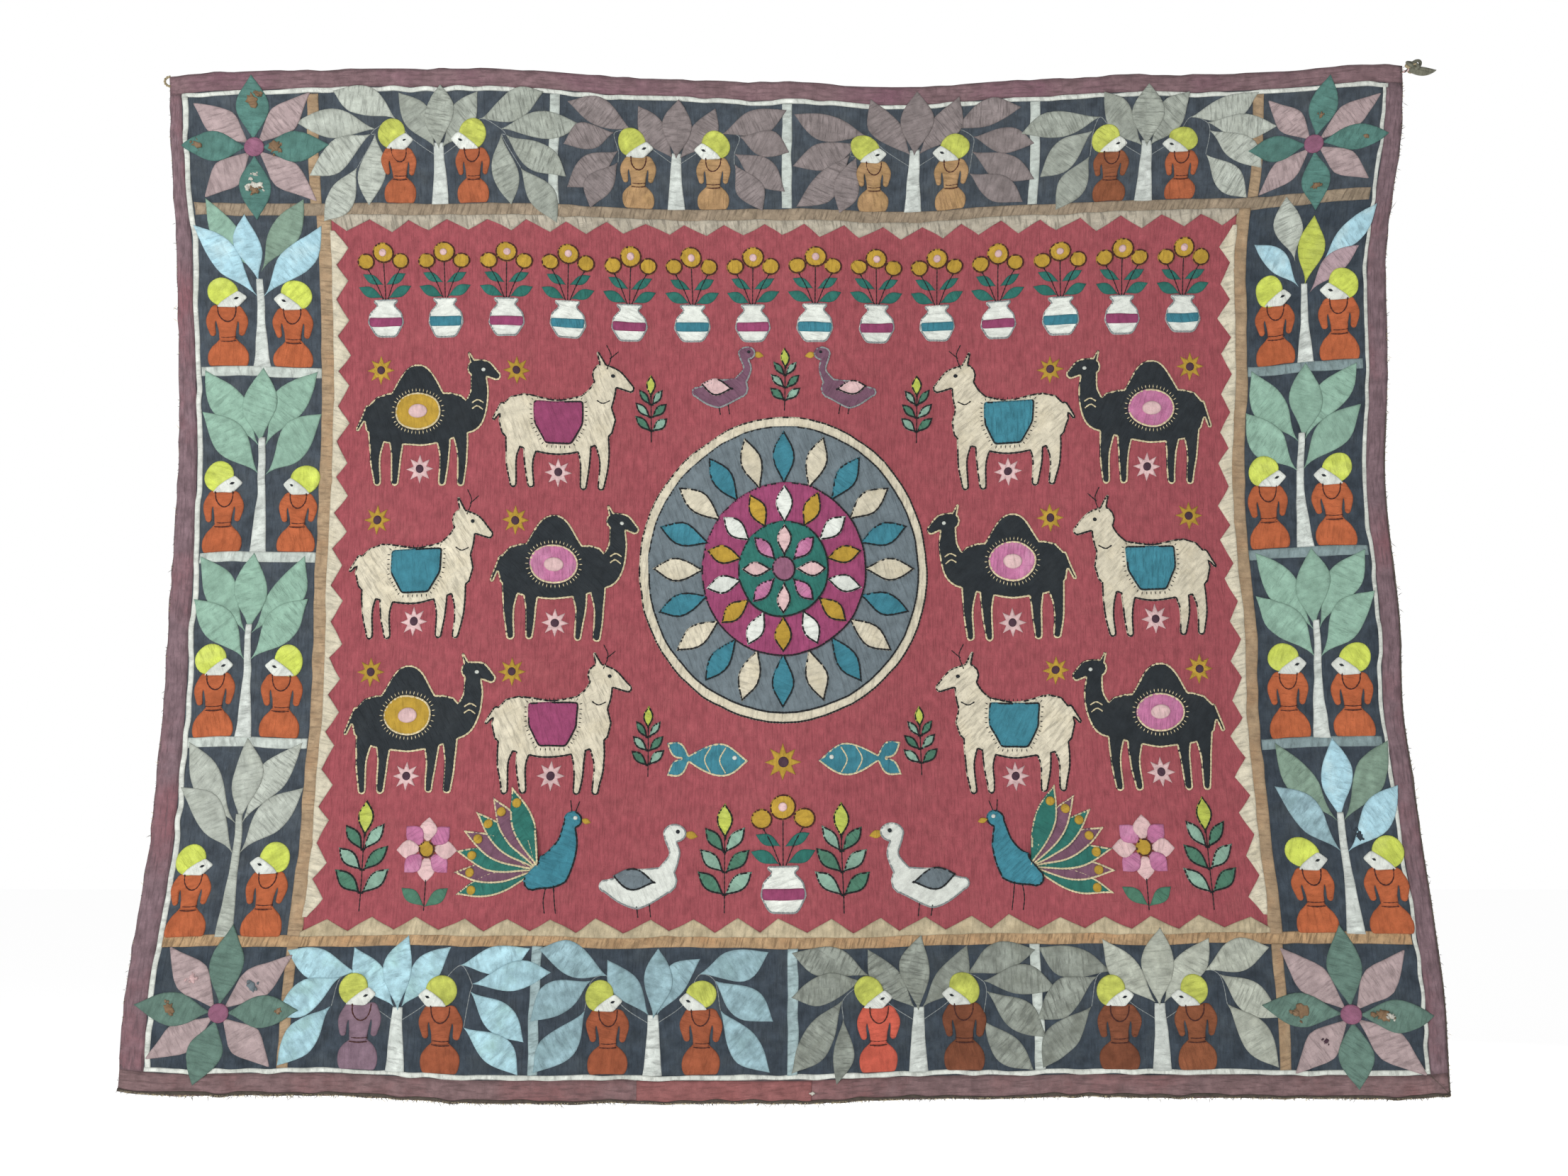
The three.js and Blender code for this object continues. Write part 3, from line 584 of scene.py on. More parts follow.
def stack_up(ring, thick):
    """Adds a patch to the stack, and gives the heights under it and round it as functions of the place"""
    corners = np.array([ring.min(0) - WINDOW_MARGIN, ring.max(0) + WINDOW_MARGIN])
    (top, bottom), (left, right) = cells_of(corners)
    inside = cells_inside(ring, top, bottom, left, right)
    window = np.s_[top:bottom + 1, left:right + 1]
    before = laid[window].copy()
    under = spread_out(np.where(inside, before, 0.0), LAP)
    laid[window] = np.where(inside, under + thick, before)

    def reader(heights):
        def read(flat):
            row, column = cells_of(flat)
            return heights[np.clip(row - top, 0, bottom - top), np.clip(column - left, 0, right - left)]
        return read

    return reader(under), reader(before)


# Outlines

# Steps along smooth paths and softened outlines
SMOOTH_STEP = 3.0


def turned(places, angle):
    c, s = math.cos(angle), math.sin(angle)
    return np.asarray(places, float) @ np.array([[c, s], [-s, c]])


def densify(outline, step, closed=True):
    """An outline with points added so that none are further apart than the step"""
    outline = np.asarray(outline, float)
    ends = np.roll(outline, -1, axis=0) if closed else outline[1:]
    dense = []
    for start, end in zip(outline, ends):
        count = max(1, math.ceil(np.hypot(*(end - start)) / step))
        dense.extend(start + (end - start) * i / count for i in range(count))
    if not closed:
        dense.append(outline[-1])
    return np.array(dense)


def smooth_path(points):
    """A smooth curve through a few points"""
    points = np.asarray(points, float)
    reach = lengths_along(points)
    at = np.linspace(0, reach[-1], max(3, math.ceil(reach[-1] / SMOOTH_STEP)))
    return np.column_stack([read_table(reach, points[:, k], at) for k in (0, 1)])


TIP_FULLNESS = 1.1


def leaf(stalk, tip, width, bend=0.0, widest=0.55, steps=14, lopsided=0.0, slim=1.4):
    """A pointed leaf between two places, bent, fuller on one side and slim at its stalk"""
    stalk = np.asarray(stalk, float)
    along = np.asarray(tip, float) - stalk
    side = np.array([-along[1], along[0]])
    t = np.linspace(0, 1, steps + 1)[:, None]
    spine = stalk + along * t + side * bend * np.sin(math.pi * t)
    edges = []
    for hand in (1, -1):
        fullest = widest + hand * lopsided / 2
        rising = np.sin(np.minimum(t / fullest, 1) * math.pi / 2) ** slim
        falling = np.sin(np.minimum((1 - t) / (1 - fullest), 1) * math.pi / 2) ** TIP_FULLNESS
        reach = hand * (1 + hand * lopsided) * width / 2
        edges.append(spine + side / np.hypot(*side) * reach * np.where(t < fullest, rising, falling))
    return np.vstack([edges[0], edges[1][-2:0:-1]])


def lozenge(stalk, tip, width):
    """A petal with straight sides and blunt shoulders between two places"""
    stalk = np.asarray(stalk, float)
    along = np.asarray(tip, float) - stalk
    side = np.array([-along[1], along[0]]) / np.hypot(*along) * width / 2
    shoulders = [(0.36, 0.88), (0.48, 1.0), (0.6, 0.86)]
    right = [stalk + along * t + side * share for t, share in shoulders]
    left = [stalk + along * t - side * share for t, share in reversed(shoulders)]
    return softened([stalk, *right, stalk + along, *left], 1)


def oval(middle, across, up, turn=0.0, sides=28):
    angle = np.linspace(0, 2 * math.pi, sides, endpoint=False)
    ring = np.column_stack([across * np.cos(angle), up * np.sin(angle)])
    return turned(ring, turn) + np.asarray(middle, float)


def limb(points, widths):
    """A tapering limb with rounded ends along a smooth path"""
    path = smooth_path(points)
    reach = np.linspace(0, 1, len(widths))
    wide = np.interp(np.linspace(0, 1, len(path)), reach, widths)
    aside = sideways(unit(np.gradient(path, axis=0))) * wide[:, None] / 2
    caps = [oval(path[end], wide[end] / 2, wide[end] / 2, sides=12) for end in (0, -1)]
    return outline_of(np.vstack([path + aside, (path - aside)[::-1]]), *caps)


def outline_of(*shapes):
    """The outer edge of shapes that lie over one another"""
    points = []
    faces = []
    for shape in shapes:
        faces.append(list(range(len(points), len(points) + len(shape))))
        points.extend(Vector(place) for place in shape)
    places, _, triangles, *_ = geometry.delaunay_2d_cdt(points, [], faces, 1, 1e-4)
    follow = dict(open_edges(triangles))
    loops = []
    while follow:
        loop = [next(iter(follow))]
        while loop[-1] in follow:
            loop.append(follow.pop(loop[-1]))
        loops.append(loop[:-1])
    return np.array([places[i] for i in max(loops, key=len)])


def open_edges(triangles):
    """Directed edges that only one triangle has"""
    edges = {(a, b) for t in triangles for a, b in ((t[0], t[1]), (t[1], t[2]), (t[2], t[0]))}
    return [(a, b) for a, b in edges if (b, a) not in edges]


def softened(outline, rounds=2):
    """An outline with its corners rounded, as small scissors cut them"""
    ring = densify(outline, SMOOTH_STEP)
    for _ in range(rounds):
        ring = (np.roll(ring, 1, axis=0) + 2 * ring + np.roll(ring, -1, axis=0)) / 4
    return ring


def symmetric(halves):
    """An outline that is the same on both sides, from its heights and half widths"""
    right = [(half, up) for up, half in halves]
    return softened(right + [(-side, up) for side, up in reversed(right)], 1)


def on_cloth(shape, foot, hand=1, size=1.0):
    """A motif's own distances, to its side and up from its foot, as flat places"""
    shape = np.asarray(shape, float)
    return np.column_stack([foot[0] + hand * size * shape[:, 0], foot[1] - size * shape[:, 1]])


# Patches and threads

# Steps along the outlines of patches, strips and spots and over their inside, and cells and unevenness of the
# cut
RING_STEP = 3.0
STRIP_STEP = 4.0
SPOT_STEP = 1.5
INNER_STEP = 9.0
CUT_CELL = 22
PATCH_UNEVEN = 0.8

# Rings of points inside the outline, the share of its inset that a point on them needs, and the net inside
# them: its start, row height and unevenness
INSETS = (0.9, 3.0)
INSET_NEEDED = 0.8
NET_START = 5.0
NET_ROW = 0.87
NET_SHIFT = 0.2

# Height of a patch, how much of it its edge lacks and how soon, and the hem's ridge with its place and spread
HEM_RISE = 0.7
EDGE_LACK = 0.75
EDGE_ROUND = 0.6
HEM_RIDGE = 0.35
HEM_AT = 2.0
HEM_SPREAD = 1.8

# Small bumps of a patch, with the distance from its edge at which they reach their height
PUCKER = 0.18
PUCKER_CELL = 11
PUCKER_START = 3

# Room that a patch takes above its height, how deep its edge is sunk, and the turn of its threads
LAYER_GAP = 0.2
SKIRT = 0.6
THREAD_TURN = 0.35

# Distance from an edge that counts as none near
NO_EDGE = 9.0


def inward(ring):
    """Directions from an outline's points to its inside"""
    along = np.roll(ring, -1, axis=0) - np.roll(ring, 1, axis=0)
    area = (ring[:, 0] * np.roll(ring[:, 1], -1) - np.roll(ring[:, 0], -1) * ring[:, 1]).sum()
    return unit(sideways(along)) * np.sign(area)


def inner_places(ring):
    """Places inside an outline: two rings along its hem and a net over the rest"""
    kept = []
    for inset in INSETS:
        hem = ring + inward(ring) * inset
        kept.append(hem[depth_in(ring, hem) > INSET_NEEDED * inset])
    (left, top), (right, bottom) = ring.min(0), ring.max(0)
    net = np.mgrid[left:right:INNER_STEP, top:bottom:INNER_STEP * NET_ROW].reshape(2, -1).T
    net = net + rng.uniform(-NET_SHIFT, NET_SHIFT, net.shape) * INNER_STEP
    if len(net):
        kept.append(net[depth_in(ring, net) > NET_START])
    return np.vstack(kept)


def facing_front(flat, triangles):
    """Triangles turned so that they face the viewer"""
    triangles = np.asarray(triangles, int)
    a, b, c = (flat[triangles[:, k]] for k in range(3))
    area = (b[:, 0] - a[:, 0]) * (c[:, 1] - a[:, 1]) - (c[:, 0] - a[:, 0]) * (b[:, 1] - a[:, 1])
    return np.where((area > 0)[:, None], triangles[:, ::-1], triangles)


def grain_of(flat, angle, seed):
    """Places along and across a patch's own threads, shifted so that no two patches match"""
    shift = np.array([seed * 371.0 % 997, seed * 173.0 % 887])
    return np.column_stack([turned(flat, -angle) + shift, np.full(len(flat), seed % 31)])


def filled(ring):
    """Points and triangles that fill an outline"""
    places = np.vstack([ring, inner_places(ring)])
    edge = [list(range(len(ring)))]
    flat, _, triangles, *_ = geometry.delaunay_2d_cdt([Vector(p) for p in places], [], edge, 1, 1e-5)
    flat = np.array(flat)
    return flat, facing_front(flat, triangles)


def patch_height(flat, deep, number):
    """Height of a patch over what it lies on: low at its edge, with a ridge along its hem and small bumps"""
    rise = HEM_RISE * (1 - EDGE_LACK * np.exp(-deep / EDGE_ROUND))
    ridge = HEM_RIDGE * np.exp(-(((deep - HEM_AT) / HEM_SPREAD) ** 2))
    pucker = PUCKER * noise(flat, PUCKER_CELL, number) * np.minimum(deep / PUCKER_START, 1)
    return rise + ridge + pucker


def walls(rim, below):
    """Triangles from the edges of a rim down to the points below them"""
    return [t for a, b in rim for t in ((a, below[a], below[b]), (a, below[b], b))]


def long_way(ring):
    """The angle at which an outline is longest"""
    spread = ring - ring.mean(0)
    return math.atan2(*np.linalg.eigh(spread.T @ spread)[1][::-1, 1])


patch_numbers = itertools.count(1)


def lay(target, outline, cloth, angle=None, uneven=PATCH_UNEVEN, step=RING_STEP):
    """Sews one patch on top of what is laid already"""
    number = next(patch_numbers)
    ring = densify(outline, step)
    shifts = [noise(ring, CUT_CELL, number + half) for half in (0, 0.5)]
    ring = ring + uneven * np.column_stack(shifts)
    flat, triangles = filled(ring)
    deep = np.maximum(depth_in(ring, flat), 0)
    base, before = stack_up(ring, HEM_RISE + LAYER_GAP)
    top = hang(flat, base(flat) + patch_height(flat, deep, number))
    rim = open_edges(triangles.tolist())
    rim_points = sorted({i for edge in rim for i in edge})
    skirt = hang(flat[rim_points], before(flat[rim_points]) - SKIRT)
    below = {point: len(flat) + i for i, point in enumerate(rim_points)}
    if angle is None:
        angle = long_way(ring)
    everywhere = np.vstack([flat, flat[rim_points]])
    target.add(
        np.vstack([top, skirt]),
        np.vstack([triangles, walls(rim, below)]),
        cloth,
        grain_of(everywhere, angle + rng.uniform(-THREAD_TURN, THREAD_TURN), number),
        np.concatenate([deep, np.zeros(len(rim_points))]),
        rng.uniform(-1, 1),
    )
    return ring


# Threads: steps along one, its swelling stitch by stitch, its height as a share of its width and how deep its
# sides are sunk
THREAD_STEP = 2.5
SWELL = 0.22
SWELL_TURN = 1.9
SWELL_UNEVEN = 0.08
THREAD_HEIGHT = 0.45
THREAD_SUNK = 0.2

# Single stitches: height as a share of the width, and how deep the ends are sunk
STITCH_HEIGHT = 0.5
STITCH_SUNK = 0.05

# Stitches on the back: length, unevenness, width, steps to place them, and gaps on a patch and on a strip
BACK_STITCH = 3.0
BACK_SHIFT = 0.6
BACK_WIDTH = 1.1
BACK_STEP = 1.0
PATCH_GAP = 6.0
STRIP_GAP = 7.0

# Stitches that stand out round a patch: every how many points, their length and width
FRINGE_SKIP = 2
FRINGE_LENGTH = 6
FRINGE_WIDTH = 1.3

# Couched outlines: how far inside a patch's edge they run, and their width
COUCHED_INSET = 1.2
COUCHED_WIDTH = 2.3


def thread(target, path, cloth, width, closed=False):
    """A couched thread along a path, thicker and thinner stitch by stitch"""
    path = densify(path, THREAD_STEP, closed)
    count = len(path)
    ahead = np.roll(path, -1, axis=0) - np.roll(path, 1, axis=0)
    if not closed:
        ahead[0] = path[1] - path[0]
        ahead[-1] = path[-1] - path[-2]
    side = sideways(unit(ahead))
    uneven = rng.uniform(-SWELL_UNEVEN, SWELL_UNEVEN, count)
    swell = 1 + SWELL * np.sin(np.arange(count) * SWELL_TURN) + uneven
    half = (width / 2 * swell)[:, None]
    flat = np.vstack([path + side * half, path, path - side * half])
    base = laid[cells_of(path)]
    sunk = base - THREAD_SUNK
    heights = np.concatenate([sunk, base + width * THREAD_HEIGHT * swell, sunk])
    faces = []
    for i in range(count if closed else count - 1):
        j = (i + 1) % count
        for row in (0, count):
            a, b, c, d = row + i, row + j, row + count + j, row + count + i
            faces += [(a, b, c), (a, c, d)]
    along = np.tile(np.arange(count) * THREAD_STEP, 3)
    across = np.repeat([0.0, 1.0, 2.0], count)
    grain = np.column_stack([along, across, np.full(3 * count, rng.uniform(0, 30))])
    target.add(hang(flat, heights), facing_front(flat, faces), cloth, grain, NO_EDGE, rng.uniform(-1, 1))


def dashes(target, starts, ends, cloth, width, back=False):
    """Single stitches between pairs of flat places, on the front or on the back"""
    count = len(starts)
    if not count:
        return
    side = unit(sideways(ends - starts)) * width / 2
    middle = (starts + ends) / 2
    flat = np.vstack([starts, ends, middle + side, middle - side, middle])
    rise = np.repeat([-STITCH_SUNK, width * STITCH_HEIGHT], [4 * count, count])
    heights = -BACK - rise if back else laid[cells_of(flat)] + rise
    a, b, c, d, e = (np.arange(count) + k * count for k in range(5))
    faces = np.vstack([np.column_stack(t) for t in ((a, c, e), (c, b, e), (b, d, e), (d, a, e))])
    faces = facing_front(flat, faces)
    if back:
        faces = faces[:, ::-1]
    grain = np.column_stack([flat, np.zeros(len(flat))])
    target.add(hang(flat, heights), faces, cloth, grain, NO_EDGE, rng.uniform(-1, 1))


def back_stitches(ring, gap):
    """A row of running stitches round a patch, as it shows on the back"""
    path = densify(ring, BACK_STEP)
    reach = lengths_along(path)
    starts = np.arange(0, reach[-1] - BACK_STITCH, BACK_STITCH + gap)
    starts = starts + rng.uniform(-BACK_SHIFT, BACK_SHIFT, len(starts))
    ends = []
    for far in (0, BACK_STITCH):
        ends.append(np.column_stack([np.interp(starts + far, reach, path[:, k]) for k in (0, 1)]))
    dashes(piece("stitching_back", "cord_beige"), *ends, "thread_cream", BACK_WIDTH, back=True)


def fringe(target, ring, cloth):
    """Short stitches that stand out all round a patch"""
    ring = ring[::FRINGE_SKIP]
    away = -inward(ring)
    dashes(target, ring + away, ring + away * FRINGE_LENGTH, cloth, FRINGE_WIDTH)


def sew(target, outline, cloth, angle=None, edging=None, uneven=PATCH_UNEVEN):
    """A patch with the stitches that show on the back, and an outline of couched thread where it has one"""
    ring = lay(target, outline, cloth, angle, uneven)
    back_stitches(ring, PATCH_GAP)
    if edging:
        thread(target, ring + inward(ring) * COUCHED_INSET, edging, COUCHED_WIDTH, closed=True)
    return ring


# Ground cloths, closed sheets with a back of their own

# Thickness, steps over a cloth and the fewest of them, and the raggedness of the outer edges
BACK = 1.2
GROUND_STEP = 8.0
FEWEST_STEPS = 4
RAGGED = 1.3
RAGGED_CELL = 18

# Seams between the field and the border
SEAM_SIDE = (out["tape"] + out["field"]) / 2
SEAM_TOP = (high["tape"] + high["field"]) / 2
SEAM_BOTTOM = (low["tape"] + low["field"]) / 2

# Each ground cloth's node, slot, cloth, and left, top, right and bottom edges as cut
GROUNDS = {
    "field": ("field_red", "red", -SEAM_SIDE, SEAM_TOP, SEAM_SIDE, SEAM_BOTTOM),
    "border_top": ("border_navy", "navy", -out["piping"], high["piping"], out["piping"], SEAM_TOP),
    "border_bottom": ("border_navy", "navy_deep", -out["piping"], SEAM_BOTTOM, out["piping"], low["piping"]),
    "border_left": ("border_navy", "navy", -out["piping"], SEAM_TOP, -SEAM_SIDE, SEAM_BOTTOM),
    "border_right": ("border_navy", "navy_deep", SEAM_SIDE, SEAM_TOP, out["piping"], SEAM_BOTTOM),
    "binding_top": ("binding_mauve", "binding_old", -HALF, 0, HALF, high["piping"]),
    "binding_bottom": ("binding_mauve", "binding_hem", -HALF, low["piping"], HALF, HEIGHT),
    "binding_left": ("binding_mauve", "binding", -HALF, high["piping"], -out["piping"], low["piping"]),
    "binding_right": ("binding_mauve", "binding", out["piping"], high["piping"], HALF, low["piping"]),
}

# How far the cloths of each slot stand forward and back of the ground's front
THICKNESS = {"field_red": (0.0, BACK), "border_navy": (0.0, BACK), "binding_mauve": (0.9, 1.6)}

# Rounding of a binding's edges: how far in it starts, and the share of the height that is left at the edge
EDGE_ROUNDING = 4
EDGE_SHARE = 0.2


def sheet_faces(rows, columns):
    """Triangles of a closed sheet, from a grid of places for its front and a like one for its back"""
    count = rows * columns
    grid = np.arange(count).reshape(rows, columns)
    a, b, c, d = (part.ravel() for part in (grid[:-1, :-1], grid[:-1, 1:], grid[1:, 1:], grid[1:, :-1]))
    front = np.vstack([np.column_stack([a, c, b]), np.column_stack([a, d, c])])
    sides = walls(open_edges(front.tolist()), np.arange(count, 2 * count))
    return np.vstack([front, front[:, ::-1] + count, sides])


def worn_edge(grid):
    """Places on the cloth's outer edges moved in and out a little"""
    shift = RAGGED * noise(grid, RAGGED_CELL, 9)
    across = np.where(np.abs(grid[:, 0]) > HALF - 1, np.sign(grid[:, 0]) * shift, 0)
    down = np.where(grid[:, 1] > HEIGHT - 1, shift, np.where(grid[:, 1] < 1, -shift, 0))
    return grid + np.column_stack([across, down])


def even_steps(start, end):
    """Places from a start to an end, about a ground step apart"""
    return np.linspace(start, end, max(FEWEST_STEPS, round((end - start) / GROUND_STEP)) + 1)


def make_ground():
    for i, (name, (slot, cloth, left, top, right, bottom)) in enumerate(GROUNDS.items()):
        columns = even_steps(left, right)
        rows = even_steps(top, bottom)
        grid = np.array(np.meshgrid(columns, rows)).reshape(2, -1).T
        sides = [grid[:, 0] - left, right - grid[:, 0], grid[:, 1] - top, bottom - grid[:, 1]]
        inset = np.minimum.reduce(sides)
        grid = worn_edge(grid)
        front, back = THICKNESS[slot]
        forward = front * np.clip(inset / EDGE_ROUNDING, EDGE_SHARE, 1)
        points = np.vstack([hang(grid, forward), hang(grid, -back)])
        bound = slot == "binding_mauve"
        if bound:
            stack_up(box(left, top, right, bottom), front)
        grain = grain_of(grid, math.pi / 2 if bound and right - left > bottom - top else 0.0, i)
        # Bindings keep their distance from the edge, along which the material paints shadow
        edge = np.where(bound, inset, NO_EDGE)
        faces = sheet_faces(len(rows), len(columns))
        target = piece(f"{name}_cloth", slot, name)
        target.add(points, faces, cloth, np.tile(grain, (2, 1)), np.tile(edge, 2), 0.0)


def box(left, top, right, bottom):
    return np.array([(left, top), (right, top), (right, bottom), (left, bottom)], float)


# How unevenly strips and the piping are cut
STRIP_UNEVEN = 1.0
PIPING_UNEVEN = 1.8


def strip(name, slot, node, cloth, outline, uneven=STRIP_UNEVEN):
    """A sewn strip with crosswise creases and a row of stitches on the back"""
    size = np.ptp(outline, axis=0)
    angle = 0.0 if size[0] > size[1] else math.pi / 2
    ring = lay(piece(name, slot, node), outline, cloth, angle, uneven, STRIP_STEP)
    back_stitches(ring, STRIP_GAP)


# How far the upper piping's end lies over the binding at its right corner
PIPING_LAP = 4

# How much narrower than its cut the piping at the right shows
THIN_PIPING = 2

# Tapes that are greyer or browner than the rest
TAPE_CLOTHS = {"top": "tape_old", "bottom": "tape_tan"}

# How far the tapes run on below the sawtooth edging
TAPE_LAP = 2

# How far outside the side tapes' line the upper corner tapes are sewn, and the width of all four
CORNER_TAPE_SHIFT = 8
CORNER_TAPE_WIDTH = 14

# Bars of the lower row that are cut from a greyer cloth
GREY_BARS = ["bar_bottom_1", "bar_bottom_2"]


def make_strips():
    piping = {
        "top": box(-out["piping"], high["piping"], out["piping"] + PIPING_LAP, high["panel"]),
        "bottom": box(-out["piping"], low["panel"], out["piping"], low["piping"]),
        "left": box(-out["piping"], high["panel"], -out["panel"], low["panel"]),
        "right": box(out["panel"] + THIN_PIPING, high["panel"], out["piping"], low["panel"]),
    }
    for border, outline in piping.items():
        strip(f"piping_{border}_strip", "piping_white", f"piping_{border}", "piping", outline, PIPING_UNEVEN)
    tapes = {
        "top": box(-out["panel"], high["tape"], out["panel"], high["field"] + TAPE_LAP),
        "bottom": box(-out["panel"], low["field"] - TAPE_LAP, out["panel"], low["tape"]),
    }
    half = CORNER_TAPE_WIDTH / 2
    for side, hand in (("left", -1), ("right", 1)):
        start, end = sorted((hand * (out["field"] - TAPE_LAP), hand * out["tape"]))
        tapes[side] = box(start, high["field"], end, low["field"])
        middle = hand * (out["field"] + out["tape"]) / 2
        shifted = middle + hand * CORNER_TAPE_SHIFT
        tapes[f"corner_top_{side}"] = box(shifted - half, high["panel"], shifted + half, high["tape"])
        tapes[f"corner_bottom_{side}"] = box(middle - half, low["tape"], middle + half, low["panel"])
    for name, outline in tapes.items():
        cloth = TAPE_CLOTHS.get(name, "tape")
        strip(f"tape_{name}_strip", "tape_tan", f"tape_{name}", cloth, outline)


def make_bars():
    half = BAR_WIDTH / 2
    outlines = {
        "top": lambda at: box(at - half, high["panel"], at + half, high["tape"]),
        "bottom": lambda at: box(at - half, low["tape"], at + half, low["panel"]),
        "left": lambda at: box(-out["panel"], at - half, -out["tape"], at + half),
        "right": lambda at: box(out["tape"], at - half, out["panel"], at + half),
    }
    for border, places in BARS.items():
        slot = "bar_blue" if border == "right" else "bar_white"
        for i, at in enumerate(places):
            name = f"bar_{border}_{i + 1}"
            cloth = "bar_grey" if name in GREY_BARS else slot
            strip(f"{name}_strip", slot, name, cloth, outlines[border](at))


# Sawtooth edging of the field

# Depths of the tips and valleys, shift of a tip as a share of the pitch, and unevenness of its depth
TOOTH_TIP = 22
TOOTH_VALLEY = 6
TOOTH_SHIFT = 0.12
TOOTH_UNEVEN = (-3, 2)
TEETH = {"top": 23, "bottom": 21, "left": 19, "right": 18}
TOOTH_CLOTHS = {"top": "cream_old", "bottom": "cream_tan"}


def make_sawtooth():
    side, top, bottom = out["field"], high["field"], low["field"]
    places = {
        "top": (-side, side, lambda along, deep: (along, top + deep)),
        "bottom": (-side, side, lambda along, deep: (along, bottom - deep)),
        "left": (top + TOOTH_TIP, bottom - TOOTH_TIP, lambda along, deep: (-side + deep, along)),
        "right": (top + TOOTH_TIP, bottom - TOOTH_TIP, lambda along, deep: (side - deep, along)),
    }
    for border, (start, end, place) in places.items():
        count = TEETH[border]
        pitch = (end - start) / count
        outline = [place(start, 0), place(end, 0)]
        for i in range(count, 0, -1):
            shift = rng.uniform(-TOOTH_SHIFT, TOOTH_SHIFT) * pitch
            tip = TOOTH_TIP + rng.uniform(*TOOTH_UNEVEN)
            outline.append(place(start + i * pitch, TOOTH_VALLEY))
            outline.append(place(start + (i - 0.5) * pitch + shift, tip))
        outline.append(place(start, TOOTH_VALLEY))
        name = f"sawtooth_{border}"
        cloth = TOOTH_CLOTHS.get(border, "cream")
        strip(f"{name}_edging", "edging_cream", name, cloth, np.array(outline))


# Corner flowers

PETAL_START = 8
DISC_RADIUS = 12.5

# Petals in the order of sewing, the pink ones first, and the turn of their creases from their length
PETAL_ORDER = (1, 3, 5, 7, 0, 2, 4, 6)
CREASE_LEAN = 1.9

# Small spots: how flat and uneven they are. Bits beside a worn place: their number, distances and sizes as
# shares of its radius, and unevenness
SPOT_FLATNESS = (0.6, 0.9)
SPOT_RAGGED = (-0.4, 0.3)
SPOT_UNEVEN = 0.6
BITS = 3
BIT_AWAY = (0.8, 1.4)
BIT_SIZE = (0.2, 0.45)
BIT_UNEVEN = 0.3

# Worn places: the petal's number, how far out along it, its size and its cloth
WORN = {
    "top_left": [(0, 62, 9, "worn_brown"), (2, 26, 8, "worn_brown"), (4, 52, 9, "worn_white"),
                 (4, 58, 6, "worn_brown"), (6, 70, 6, "worn_brown"), (4, 36, 4, "worn_white")],
    "top_right": [(0, 40, 4, "worn_brown"), (2, 66, 4, "worn_brown"), (4, 60, 5, "worn_brown")],
    "bottom_left": [(6, 60, 8, "worn_brown"), (7, 56, 6, "rose"), (1, 50, 7, "slate"),
                    (2, 74, 4, "worn_brown")],
    "bottom_right": [(6, 58, 10, "worn_brown"), (2, 36, 9, "worn_brown"), (2, 44, 5, "worn_white"),
                     (5, 44, 4, "maroon")],
}
FLOWER_ACROSS = (out["panel"] + out["tape"]) / 2
FLOWER_DOWN = {"top": (high["panel"] + high["tape"]) / 2, "bottom": (low["panel"] + low["tape"]) / 2}

# How far right of and below the middle of its square each flower is sewn on, the width of its petals, and
# their turns from upright in degrees and lengths, clockwise
FLOWERS = {
    "top_left": {
        "place": (3, -2), "width": 40,
        "turns": [-1, 45, 89, 133, 180, 224, 272, 310], "lengths": [97, 101, 95, 105, 97, 94, 92, 96],
    },
    "top_right": {
        "place": (-5, 5), "width": 36,
        "turns": [11, 51, 83, 125, 172, 225, 268, 319], "lengths": [98, 108, 99, 94, 94, 93, 84, 90],
    },
    "bottom_left": {
        "place": (3, 6), "width": 42,
        "turns": [3, 49, 89, 137, 196, 235, 275, 320], "lengths": [109, 112, 97, 96, 95, 105, 105, 110],
    },
    "bottom_right": {
        "place": (-4, 11), "width": 41,
        "turns": [-2, 41, 90, 130, 177, 225, 277, 317], "lengths": [111, 108, 100, 112, 89, 99, 109, 115],
    },
}


def round_about(middle, turn, radius):
    return (middle[0] + radius * math.sin(turn), middle[1] - radius * math.cos(turn))


def blot(middle, radius):
    """An uneven small spot"""
    ring = oval(middle, radius, radius * rng.uniform(*SPOT_FLATNESS), rng.uniform(0, 3), 18)
    return ring + (ring - np.asarray(middle)) * rng.uniform(*SPOT_RAGGED, (len(ring), 1))


def wear(target, middle, radius, cloth):
    """A worn place: a ragged spot with small bits beside it"""
    lay(target, blot(middle, radius), cloth, uneven=SPOT_UNEVEN, step=SPOT_STEP)
    for _ in range(BITS):
        beside = round_about(middle, rng.uniform(0, 2 * math.pi), radius * rng.uniform(*BIT_AWAY))
        bit = blot(beside, radius * rng.uniform(*BIT_SIZE))
        lay(target, bit, cloth, uneven=BIT_UNEVEN, step=SPOT_STEP)


def make_flowers():
    for corner, worn in WORN.items():
        row, side = corner.split("_")
        flower = FLOWERS[corner]
        across = FLOWER_ACROSS if side == "right" else -FLOWER_ACROSS
        middle = (across + flower["place"][0], FLOWER_DOWN[row] + flower["place"][1])
        turns = np.radians(flower["turns"])
        width = flower["width"]
        target = piece(f"flower_{corner}_petals", "petal_teal", f"flower_{corner}")
        for i in PETAL_ORDER:
            ends = [round_about(middle, turns[i], far) for far in (PETAL_START, flower["lengths"][i])]
            pink = i % 2
            outline = lozenge(*ends, width) if pink else leaf(*ends, width, widest=0.5)
            sew(target, outline, "petal_pink" if pink else f"petal_{row}", turns[i] + CREASE_LEAN)
        for i, far, radius, cloth in worn:
            wear(target, round_about(middle, turns[i], far), radius, cloth)
        sew(target, oval(middle, DISC_RADIUS, DISC_RADIUS), "magenta")


# Trees: leaves from stalk to tip as distances beside and above the tree's foot, and their widths

